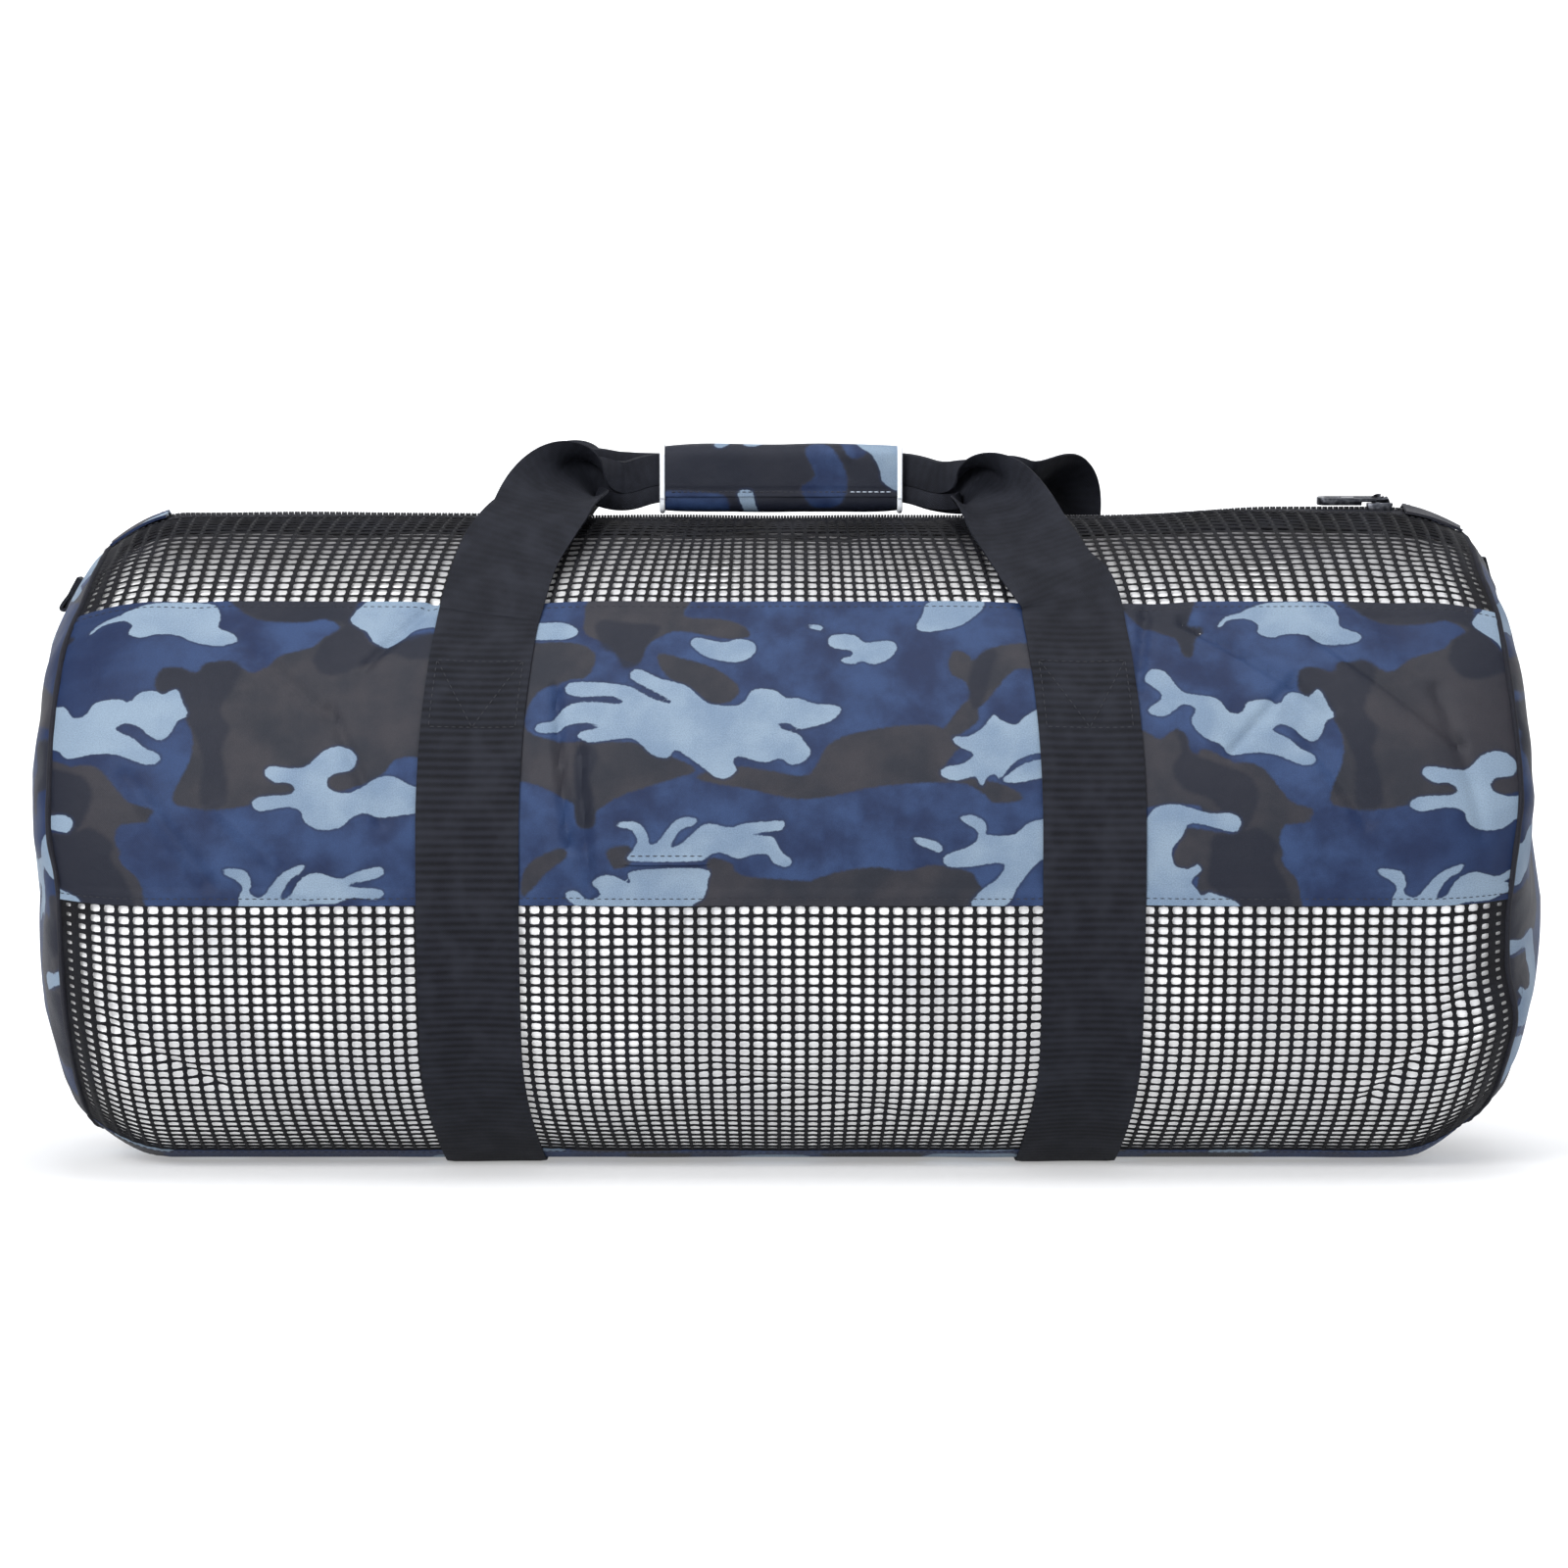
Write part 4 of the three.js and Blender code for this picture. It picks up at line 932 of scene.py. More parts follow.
# How far a panel's cloth stands out: its turned hems, the grooves that their stitches draw in,
# and the tuck.
def bandLift(along, distance, width, tucked):
    edge = np.minimum(distance, width - distance)
    lift = band["proud"] * (1 - smooth(edge, band["hem"] - 1.2, band["hem"]))
    lift = lift - band["groove"] * np.exp(-(((edge - band["stitch"]) / 0.9) ** 2))
    if tucked is not None:
        inside = smooth(along, band["tuckFrom"] - 3, band["tuckFrom"] + 2)
        inside = inside * (1 - smooth(along, band["tuckTo"] - 2, band["tuckTo"] + 3))
        above = smooth(tucked, band["tuckAt"] + 6, band["tuckAt"] + 0.4)
        lip = np.where(tucked > band["tuckAt"], band["tuckLift"] * above, -0.5)
        lip = np.where(tucked < band["tuckAt"] - 2.5, -0.5 * smooth(tucked, -12, -5.5), lip)
        lift = lift + inside * lip
    return lift


def makeBand(name, back):
    step = band["step"] * (band["coarser"] if back else 1)
    along = evenly(-barrel["panelHalf"], barrel["panelHalf"], step)
    rise = evenly(barrel["bandBottom"] * arc, barrel["bandTop"] * arc, step)
    if not back:
        nearTuck = band["tuckAt"] + np.array([-0.25, 0.05, 0.6])
        rise = np.unique(np.concatenate([rise, nearTuck]))
    u, v = np.meshgrid(along, rise, indexing="ij")
    width = (barrel["bandTop"] - barrel["bandBottom"]) * arc
    lift = bandLift(u, v - rise[0], width, None if back else v)
    around = 180 - v / arc if back else v / arc
    values = camoValues(-u if back else u, v, band["printBack"] if back else (0, 0))
    outer = skin(u, around, 0.1 + lift)
    inner = skin(u, around, -barrel["cloth"])
    return makeWall(name, outer, inner, camoCloth, values=values, replaced=[nodeOf(name)])


bands = [makeBand("sideBandFront", False), makeBand("sideBandBack", True)]


def makeBottom():
    turn = evenly(barrel["ground"] - 0.1, -180 - barrel["ground"] + 0.1, 1.4)
    along = evenly(-barrel["panelHalf"], barrel["panelHalf"], 4)
    u, around = np.meshgrid(along, turn, indexing="ij")
    width = (turn[0] - turn[-1]) * arc
    lift = bandLift(u, (turn[0] - around) * arc, width, None) * 0.6
    values = camoValues(u, around * arc, band["printBottom"])
    return makeWall(
        "bottomPanel",
        skin(u, around, lift),
        skin(u, around, -barrel["cloth"]),
        camoCloth,
        values=values,
        replaced=["bottom_panel"],
    )


bottom = makeBottom()
print("camouflage panels made")


# Pale liner close behind the nets
def makeLiner():
    along = evenly(-barrel["half"] + 1, barrel["half"] - 1, liner["step"])
    around = evenly(90 + liner["slot"], 450 - liner["slot"], liner["step"] / arc)
    u, turn = np.meshgrid(along, around, indexing="ij")
    waves = np.sin(u / 13 + 2 * np.sin(turn / 9)) * np.sin(turn / 7 + 1.5 * np.sin(u / 31))
    here = pressed(u, turn)
    about = liner["about"]
    moves = ((about, 0), (-about, 0), (0, about), (0, -about))
    nearby = [pressed(u + x, turn + y / arc) for x, y in moves]
    deep = liner["clear"] + liner["wrinkle"] * (1 + waves)
    deep = deep + np.maximum.reduce([here] + nearby) - here
    deep = deep + liner["under"] * smooth(np.abs(turn - 270), 160, 165)
    outer = skin(u, turn, -deep)
    inner = skin(u, turn, -deep - liner["wall"])
    return makeWall("innerLiner", outer, inner, paleLiner, replaced=["inner_liner"])


innerLiner = makeLiner()

# End panels, piping, pull tabs
ends = {
    "rings": 36,
    "segments": 190,
    "rim": 0.004,
    "puckers": 0.7,
    "cut": 163,  # radius of the flat disc
    "spread": 1.06,  # times its radius is how far the print reaches
    "printRight": (64, 66),  # where the ends lie on the print
    "printLeft": (-214, 84),
}


# The print runs on over the edge of an end panel, a little larger than its disc.
def makeEnd(name, side):
    share = ends["rim"] + (1 - ends["rim"]) * np.linspace(0, 0.998, ends["rings"]) ** 1.35
    around = np.linspace(-90, 270, ends["segments"], endpoint=False)
    s, turn = np.meshgrid(share, around, indexing="ij")
    reach = (1 - s) * seamRadius * ends["spread"]
    u = side * reach * np.cos(np.radians(turn))
    v = reach * np.sin(np.radians(turn))
    values = camoValues(u, v, ends["printRight" if side > 0 else "printLeft"])
    outer = dome(side, s, turn, 0, ends["puckers"])
    inner = dome(side, s, turn, -barrel["cloth"], ends["puckers"])
    replaced = [nodeOf(name)]
    return makeWall(name, outer, inner, camoCloth, (False, True), values, replaced=replaced)


endPanels = [makeEnd("endPanelLeft", -1), makeEnd("endPanelRight", 1)]

# Half of its width, then how far it reaches out from the seam and in from it
piping = {"half": 1.9, "outer": 1.9, "inner": 6.0, "segments": 230, "round": 12}


def makePiping(name, side):
    turn = np.linspace(-90, 270, piping["segments"], endpoint=False)
    ring = np.linspace(0, 2 * math.pi, piping["round"], endpoint=False)
    t, c = np.meshgrid(turn, ring, indexing="ij")
    swell = 1 + 0.05 * np.sin(np.radians(t) * 47) + 0.04 * np.sin(np.radians(t) * 11 + 1)
    deep = (piping["outer"] + piping["inner"]) / 2
    middle = seamRadius + piping["outer"] - deep
    radius = middle + deep * np.cos(c) * np.where(np.cos(c) > 0, swell, 1)
    shift, rise = seamPlace(side > 0, t)
    radius = radius + rise
    x = side * (barrel["half"] + shift + piping["half"] * np.sin(c) * swell)
    angle = np.radians(t)
    z = np.maximum(axisHeight + radius * np.sin(angle), groundHeight)
    points = np.stack([x, -radius * np.cos(angle), z], -1) * mm
    index = np.arange(t.size).reshape(t.shape)
    index = np.concatenate([index, index[:1]])
    index = np.concatenate([index, index[:, :1]], 1)
    return makePiece(name, points, [gridFaces(index)], blackPiping, replaced=[nodeOf(name)])


makePiping("endPipingLeft", -1)
makePiping("endPipingRight", 1)
print("ends made")

# Handles. Each arm runs from its strap to the grip. Columns: shares of the way inward, back
# and up, then turn and swing of the webbing in degrees and how far it is folded in two.
grip = {
    "length": 118,
    "lift": 18.5,  # middle of the grip above the crown of the barrel
    "wall": 4.5,
    "flap": 1.2,
    "flapShow": 7,
    "rounding": 6.3,
    "binding": 3,
    "points": 84,  # round the wrap
    "stitch": 3.2,  # from the edge of its flap to the stitches
}
arms = {
    "frontLeft": [
        (0, 0, 0, 0, 0, 0),
        (0.04, 0.066, 0.176, 0, 0, 0),
        (0.12, 0.22, 0.47, 2, 0, 0),
        (0.29, 0.42, 0.77, 4, 6, 0),
        (0.43, 0.7, 0.93, 33, 28, 0.3),
        (0.565, 0.905, 1, 70, 14, 0.75),
        (0.78, 0.965, 0.94, 88, 0, 1),
        (1, 1, 1, 90, 0, 1),
    ],
    "frontRight": [
        (0, 0, 0, 0, 0, 0),
        (0.01, 0.048, 0.13, 0, 0, 0),
        (0.15, 0.17, 0.35, 3, 6, 0),
        (0.315, 0.4, 0.61, 12, 20, 0.1),
        (0.457, 0.66, 0.845, 35, 38, 0.35),
        (0.587, 0.907, 0.96, 75, 15, 0.8),
        (0.78, 0.965, 0.94, 90, 0, 1),
        (1, 1, 1, 90, 0, 1),
    ],
    "backLeft": [
        (0, 0, 0, 0, 0, 0),
        (0.02, 0.05, 0.18, 0, 0, 0),
        (0.1, 0.2, 0.52, 4, 0, 0),
        (0.27, 0.42, 0.78, 6, 8, 0),
        (0.435, 0.68, 0.93, 35, 24, 0.3),
        (0.55, 0.88, 1.05, 72, 10, 0.7),
        (0.8, 0.965, 1.01, 88, 0, 1),
        (1, 1, 1, 90, 0, 1),
    ],
    "backRight": [
        (0, 0, 0, 0, 0, 0),
        (-0.01, 0.01, 0.25, 0, 14, 0),
        (-0.03, 0.17, 0.6, 4, 46, 0),
        (0.06, 0.43, 0.96, 38, 42, 0),
        (0.33, 0.68, 0.84, 28, 30, 0.3),
        (0.55, 0.87, 0.91, 66, 12, 0.75),
        (0.78, 0.965, 0.93, 90, 0, 1),
        (1, 1, 1, 90, 0, 1),
    ],
}
webbingAcross = np.array(
    [-1, -0.87, -0.77, -0.7, -0.63, -0.55, -0.4, -0.12, 0.12, 0.26, 0.33, 0.4, 0.5, 0.66, 0.85, 1]
)
middleColumns = [7, 8]  # of webbingAcross, on either side of its middle
rowsPerRib = 4
foldAside = -0.15  # the upper half folds further than the lower one
foldWall = 2 * webbing["wall"] + webbing["foldSlack"]
gripHeight = axisHeight + barrel["radius"] + grip["lift"]
gripMouth = grip["length"] / 2 + barrel["gap"] + grip["binding"]
midWebbing = barrel["gap"] + webbing["wall"] / 2


# A smooth curve through points, sampled at shares of the way from point to point.
def throughPoints(points, shares):
    points = np.asarray(points, float)
    padded = np.concatenate([[2 * points[0] - points[1]], points, [2 * points[-1] - points[-2]]])
    index = np.clip(np.floor(shares).astype(int), 0, len(points) - 2)
    local = (shares - index)[:, None]
    p = [padded[index + shift] for shift in range(4)]
    gaps = [np.maximum(np.linalg.norm(p[k + 1] - p[k], axis=1), 1e-6)[:, None] ** 0.5 for k in range(3)]
    before = (p[1] - p[0]) / gaps[0] - (p[2] - p[0]) / (gaps[0] + gaps[1]) + (p[2] - p[1]) / gaps[1]
    after = (p[2] - p[1]) / gaps[1] - (p[3] - p[1]) / (gaps[1] + gaps[2]) + (p[3] - p[2]) / gaps[2]
    before, after = before * gaps[1], after * gaps[1]
    square, cube = local * local, local**3
    return (
        p[1] * (2 * cube - 3 * square + 1)
        + before * (cube - 2 * square + local)
        + p[2] * (3 * square - 2 * cube)
        + after * (cube - square)
    )


# Places of one arm's rows: middle of the webbing, its direction across, and how far it is folded.
def armRows(rows, side, face):
    middle = side * webbing["place"] + webbing["shift"]
    around = webbing["end"] if face > 0 else 180 - webbing["end"]
    edges = middle + np.array([-1, 1]) * webbing["width"] / 2
    start = skin(edges, around, midWebbing).mean(0) / mm
    mouth = np.array(
        [webbing["shift"] + side * gripMouth, -face * (foldWall + barrel["gap"]) / 2, gripHeight]
    )
    found = []
    for inward, back, rise, turn, swing, fold in rows:
        centre = start + (mouth - start) * np.array([inward, back, rise])
        turn, swing = math.radians(turn), math.radians(swing)
        across = (
            side * math.cos(turn) * math.cos(swing),
            face * math.sin(swing),
            math.sin(turn) * math.cos(swing),
        )
        found.append((centre, across, fold))
    return found


# Middle of the webbing across one place on a handle: its edges curl over as it folds.
def foldSection(fold):
    fine = np.linspace(0, 1.2, 193)
    spread = 0.9 + (0.17 - 0.9) * smooth(fold, 0, 0.8)
    bend = fold * math.pi * smooth(fine, 0.5 - spread / 2, 0.5 + spread / 2)
    half = webbing["width"] / 2
    step = half * fine[1]
    flat = np.concatenate([[0], np.cumsum(np.cos(bend[:-1]) * step)])
    lift = np.concatenate([[0], np.cumsum(np.sin(bend[:-1]) * step)])
    across = webbingAcross - foldAside
    sideways = np.sign(across) * np.interp(np.abs(across), fine, flat)
    sideways = sideways + foldAside * half * (1 - fold)
    return sideways, np.interp(np.abs(across), fine, lift) - fold * 1.15


# Rows of points across one handle, from its left strap to its right one, or back again.
def handleRows(left, right, face):
    path = armRows(arms[left], -1, face) + armRows(arms[right], 1, face)[::-1]
    if face < 0:
        path = path[::-1]
    shares = np.linspace(0, len(path) - 1, 24 * (len(path) - 1) + 1)
    centres = throughPoints([row[0] for row in path], shares)
    acrosses = throughPoints([row[1] for row in path], shares)
    gripSpan = len(arms[left]) - 1
    inGrip = (shares >= gripSpan) & (shares <= gripSpan + 1)
    ends = np.array([path[gripSpan][0], path[gripSpan + 1][0]])
    straight = ends[0] + (ends[1] - ends[0]) * (shares - gripSpan)[:, None]
    centres[inGrip] = straight[inGrip]
    runs = np.gradient(centres, axis=0)
    runs /= np.linalg.norm(runs, axis=1, keepdims=True)
    acrosses -= runs * (acrosses * runs).sum(1, keepdims=True)
    acrosses /= np.linalg.norm(acrosses, axis=1, keepdims=True)
    outs = np.cross(runs, acrosses)
    turned = np.interp(shares, np.arange(len(path)), [row[2] for row in path])
    rows = []
    for centre, across, out, fold in zip(centres, acrosses, outs, turned):
        sideways, lift = foldSection(float(fold))
        rows.append(centre + sideways[:, None] * across + lift[:, None] * out)
    return np.array(rows)


# Rows of points across one strap, down the front and up the back, or the other way.
def strapRows(side, down):
    angles = np.linspace(webbing["end"], -180 - webbing["end"], 220)
    angles = angles if down else angles[::-1]
    middle = side * webbing["place"] + webbing["shift"]
    along = middle + side * webbingAcross * webbing["width"] / 2
    return skin(along[None, :], angles[:, None], midWebbing) / mm


# One closed loop of webbing: front handle, right strap, back handle and left strap.
def makeWebbingLoop():
    parts = [
        handleRows("frontLeft", "frontRight", 1),
        strapRows(1, True),
        handleRows("backLeft", "backRight", -1),
        strapRows(-1, False),
    ]
    rows = np.concatenate([part[:-1] for part in parts])
    joins = np.cumsum([0] + [len(part) - 1 for part in parts[:-1]])
    closed = np.concatenate([rows, rows[:1]])
    reach = lengthsAlong(closed[:, middleColumns].mean(1))
    total = reach[-1]
    count = round(total / webbing["rib"]) * rowsPerRib
    places = np.arange(count) * total / count
    even = np.empty((count,) + rows.shape[1:])
    for across in range(rows.shape[1]):
        for axis in range(3):
            even[:, across, axis] = np.interp(places, reach, closed[:, across, axis])
    nearJoin = np.zeros(count)
    for place in reach[joins]:
        away = np.abs((places - place + total / 2) % total - total / 2)
        nearJoin = np.maximum(nearJoin, 1 - smooth(away, *webbing["joinReach"]))
    softened = even.copy()
    for turn in range(webbing["softening"]):
        softened = (np.roll(softened, 1, 0) + 2 * softened + np.roll(softened, -1, 0)) / 4
    even += (softened - even) * nearJoin[:, None, None]
    runs = np.roll(even, -1, 0) - np.roll(even, 1, 0)
    normals = gridNormals(runs, even)
    edge = np.where(np.abs(webbingAcross) > 0.99, webbing["edge"], 1.0)[None, :, None]
    onStraps = np.concatenate(
        [np.full(len(part) - 1, float(k % 2)) for k, part in enumerate(parts)] + [[0.0]]
    )
    high = (even[:, middleColumns[0], 2] - axisHeight) / barrel["radius"]
    strength = np.interp(places, reach, onStraps) * smooth(high, -0.98, -0.72) * smooth(high, 0.76, 0.5)
    strength = 0.3 + 0.7 * strength
    ribs = 0.5 - 0.5 * np.cos(2 * math.pi * np.arange(count) / rowsPerRib)
    depth = (webbing["ribDepth"] * ribs * strength)[:, None, None]
    half = webbing["wall"] / 2 * edge
    outer = (even + normals * (half - depth)) * mm
    inner = (even - normals * half) * mm
    u = np.broadcast_to((places + webbing["rib"] / 4)[:, None], even.shape[:2])
    v = np.broadcast_to(webbingAcross[None, :] * webbing["width"] / 2, even.shape[:2])
    w = np.broadcast_to(strength[:, None], u.shape)
    values = {"cloth": np.stack([u, v, w], -1)}
    return makeWall(
        "carryWebbing",
        outer,
        inner,
        blackWebbing,
        wraps=(True, False),
        values=values,
        angle=50,
        replaced=["strap_left", "strap_right", "handle_front", "handle_back"],
    )


makeWebbingLoop()
print("webbing made")


# Outline of the grip's cloth in the plane across it, from the edge of its flap round to the
# end that lies under the flap, as points (depth, height) with their outward directions.
def gripPath(outward):
    depth = foldWall + 1.5 * barrel["gap"] + outward
    height = webbing["width"] / 4 + barrel["gap"] + outward
    radius = grip["rounding"]
    flap = grip["flap"]
    corners = [
        (-depth - flap, -height + grip["flapShow"], -1, 0),
        (-depth - flap, height - radius, -1, 0),
        (-depth + radius, height, 0, 1),
        (depth - radius, height, 0, 1),
        (depth, height - radius, 1, 0),
        (depth, -height + radius, 1, 0),
        (depth - radius, -height, 0, -1),
        (-depth + radius, -height, 0, -1),
        (-depth, -height + radius, -1, 0),
        (-depth, -height + grip["flapShow"] + 9, -1, 0),
    ]
    points = [corners[0][:2]]
    for (y0, z0, ny, nz), (y1, z1, my, mz) in zip(corners[:-1], corners[1:]):
        if (ny, nz) == (my, mz):
            points += [(y0 + (y1 - y0) * t, z0 + (z1 - z0) * t) for t in np.linspace(0, 1, 9)[1:]]
        else:
            bend = (y0, z1) if ny else (y1, z0)
            for t in np.linspace(0, 1, 8)[1:]:
                points.append(
                    tuple(
                        (1 - t) ** 2 * a + 2 * t * (1 - t) * b + t * t * c
                        for a, b, c in zip((y0, z0), bend, (y1, z1))
                    )
                )
    points = np.array(points)
    reach = lengthsAlong(points)
    places = np.linspace(0, reach[-1], grip["points"])
    return np.stack([np.interp(places, reach, points[:, k]) for k in range(2)], -1), places


def gripSurface(along, outward):
    path, places = gripPath(outward)
    u, index = np.meshgrid(along, np.arange(grip["points"]), indexing="ij")
    y, z = path[index, 0], path[index, 1]
    return u, places[index], y, z


# Patches of the print on the grip, with x along it and y up its front from the lower edge
gripLight = [
    [(37, 38), (40, 32), (46, 28), (50, 21), (52, 14), (62, 12), (62, 46), (38, 46), (35, 42)],
    [(-22, 9), (-19, 1), (-16, -5), (-10, -5), (-13, 3), (-15, 10)],
    [(-34, 33), (-29, 32), (-26, 37), (-31, 44)],
    [(-19, 34), (-12, 33), (-9, 39), (-16, 44)],
    [(-54, 56), (-30, 50), (-20, 58), (-34, 66), (-50, 62)],
    [(6, 54), (28, 48), (40, 56), (30, 64), (22, 58), (10, 62)],
]
gripNavy = [
    [(12, 6), (18, 1), (30, 3), (34, 14), (30, 26), (20, 36), (12, 30), (17, 18), (10, 12)],
    [(-62, -6), (-30, -5), (-27, 6), (-36, 9), (-62, 9)],
    [(30, 34), (36, 26), (44, 30), (36, 44), (28, 46)],
    [(-62, 44), (-30, 46), (20, 52), (62, 46), (62, 70), (-62, 72)],
]


def makeGrip():
    along = evenly(-grip["length"] / 2, grip["length"] / 2, 1.6)
    inset = 0.9
    u, v, y, z = gripSurface(along, grip["wall"] - inset)
    plump = inset * np.clip(1 - (np.abs(u) / (grip["length"] / 2)) ** 8, 0, 1)
    plump = plump + 0.35 * np.sin(u / 9 + v / 14) * np.sin(v / 8)
    dy, dz = np.gradient(y, axis=1), np.gradient(z, axis=1)
    length = np.maximum(np.hypot(dy, dz), 1e-6)
    ny, nz = -dz / length, dy / length
    stitched = np.exp(-(((v - grip["stitch"]) / 0.8) ** 2)) * 0.5
    outerY, outerZ = y + ny * (plump - stitched), z + nz * (plump - stitched)
    *_, innerY, innerZ = gripSurface(along, 0.4)
    x = u + webbing["shift"]
    under = v.max() - v
    height = np.where(under < 24, grip["flapShow"] + 9 - under, v + grip["flapShow"])
    values = {
        "light": patchDistance(u, height, gripLight, 5.0),
        "earth": -patchDistance(u, height, gripNavy, 5.0),
        "dark": -patchDistance(u, height, gripNavy, 5.0),
        "cloth": np.stack([u, v, np.zeros_like(u)], -1),
    }
    outer = np.stack([x, outerY, outerZ + gripHeight], -1) * mm
    inner = np.stack([x, innerY, innerZ + gripHeight], -1) * mm
    return makeWall("gripWrap", outer, inner, camoCloth, values=values, replaced=["grip_wrap"])


gripWrap = makeGrip()


def makeGripBinding(name, side):
    start = grip["length"] / 2 + barrel["gap"]
    profile = np.array([(-0.3, 0), (-0.1, 0.7), (0.4, 1.05), (1.2, 1.1), (1.9, 0.9), (2.3, 0)])
    path, _ = gripPath(grip["wall"])
    low, _ = gripPath(0.5)
    dy, dz = np.gradient(path[:, 0]), np.gradient(path[:, 1])
    length = np.maximum(np.hypot(dy, dz), 1e-6)
    normal = np.stack([-dz / length, dy / length], -1)
    x, lift = profile[:, 0], profile[:, 1] * 0.8
    outer = path[None] + normal[None] * (lift[:, None, None] - 0.15)
    inner = np.broadcast_to(low[None], outer.shape)
    place = webbing["shift"] + side * (start + x)
    xs = np.broadcast_to(place[:, None], outer.shape[:2])

    def lifted(section):
        return np.stack([xs, section[..., 0], section[..., 1] + gripHeight], -1) * mm

    return makeWall(name, lifted(outer), lifted(inner), paleEdging, replaced=[nodeOf(name)])


makeGripBinding("gripBindingLeft", -1)
makeGripBinding("gripBindingRight", 1)
print("grip made")

# Zip along the top: tapes, teeth, slider and pull
zipper = {
    "tapeLow": 75,
    "tooth": 1.5,  # pitch of the teeth
    "teethHalf": 3.6,
    "top": 1.2,  # of the teeth, above the cloth
    "tape": 0.8,
    "sliderWall": 1.4,
    "bowRise": 4.6,  # of the slider's bow above its plate
    "tabPrint": (-150, -206),  # where the end tabs lie on the print
    "tabCover": 17,  # length of the zip under an end tab
    "tabHalf": 19,  # half of its width round the bag
    "pullWall": 3.8,
    "pullLean": 8,  # degrees, because the pull lies on one edge
    "window": (9, 3.6),  # length and width of the hole in the pull
    "fork": (9.6, 3.8),  # of the slot that goes round the slider's bow
}
tapeOffset = -barrel["cloth"] - barrel["gap"] - barrel["radius"] * (1 - math.cos(math.radians(4.5)))


def makeZipTape(name, back):
    half = math.degrees(zipper["teethHalf"] / barrel["radius"])
    around = evenly(zipper["tapeLow"], 90 - half * 0.55, 0.55)
    along = evenly(-barrel["zipHalf"], barrel["zipHalf"], 4)
    u, turn = np.meshgrid(along, around, indexing="ij")
    cord = 0.7 * np.exp(-(((turn - around[-1] + 0.5) / 0.45) ** 2))
    lift = tapeOffset + cord + 1.3 * smooth(turn, 84.6, 86)
    face = 180 - turn if back else turn
    outer = skin(u, face, lift, leans=False)
    inner = skin(u, face, lift - zipper["tape"], leans=False)
    return makeWall(name, outer, inner, blackTape, replaced=[nodeOf(name)])


zipTapes = [makeZipTape("zipTapeFront", False), makeZipTape("zipTapeBack", True)]


# A joined mesh of copies of one small shape, each at its place and in its own axes.
def makeCopies(name, shape, places, axes, material, **more):
    mesh = shape.data
    corners = np.array([vertex.co for vertex in mesh.vertices])
    polygons = [list(polygon.vertices) for polygon in mesh.polygons]
    points = np.einsum("nij,kj->nki", axes, corners) + places[:, None, :]
    faces = []
    for size in {len(polygon) for polygon in polygons}:
        some = np.array([polygon for polygon in polygons if len(polygon) == size])
        shifts = np.arange(len(places))[:, None, None] * len(corners)
        faces.append((some[None] + shifts).reshape(-1, size))
    bpy.data.objects.remove(shape)
    return makePiece(name, points, faces, material, **more)


def applyModifiers(piece):
    bpy.context.view_layer.objects.active = piece
    for modifier in list(piece.modifiers):
        bpy.ops.object.modifier_apply(modifier=modifier.name)


# A box by its size and middle, in metres, with its edges bevelled.
def addBox(size, middle=(0, 0, 0), bevel=0.0, segments=2):
    bpy.ops.object.select_all(action="DESELECT")
    bpy.ops.mesh.primitive_cube_add(size=1, location=middle)
    box = bpy.context.object
    box.scale = size
    bpy.ops.object.transform_apply(location=True, rotation=True, scale=True)
    if bevel:
        rounding = box.modifiers.new("rounding", "BEVEL")
        rounding.width = bevel
        rounding.segments = segments
        applyModifiers(box)
    return box


def makeTeeth():
    tooth = addBox((1.25 * mm, 3.4 * mm, 2.0 * mm), bevel=0.35 * mm, segments=1)
    places = np.arange(-barrel["zipHalf"] + 1, barrel["zipHalf"] - 1, zipper["tooth"])
    alternate = np.where(np.arange(len(places)) % 2 == 0, -1, 1)
    tops = skin(places, 90.0, zipper["top"] - 1.0, leans=False)
    tops[:, 1] = alternate * 1.35 * mm
    ahead = skin(places + 1, 90.0, zipper["top"] - 1.0, leans=False)
    ahead[:, 1] = tops[:, 1]
    run = ahead - tops
    run /= np.linalg.norm(run, axis=1, keepdims=True)
    across = np.tile([0.0, 1.0, 0.0], (len(places), 1))
    axes = np.stack([run, across, np.cross(run, across)], -1)
    return makeCopies("zipTeeth", tooth, tops, axes, blackTeeth, replaced=["zip_teeth"])


makeTeeth()


def cutWith(piece, cutter, operation="DIFFERENCE"):
    change = piece.modifiers.new("change", "BOOLEAN")
    change.operation = operation
    change.solver = "EXACT"
    change.object = cutter
    applyModifiers(piece)
    bpy.data.objects.remove(cutter)


def finishHard(piece, name, material, body, node, angle=35):
    piece.name = piece.data.name = name
    piece.data.materials.clear()
    piece.data.materials.append(material)
    cleanMesh(piece.data, 1e-6)
    bpy.ops.object.select_all(action="DESELECT")
    piece.select_set(True)
    bpy.context.view_layer.objects.active = piece
    bpy.ops.object.shade_smooth_by_angle(angle=math.radians(angle))
    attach(piece, body)
    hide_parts(node)
    return piece


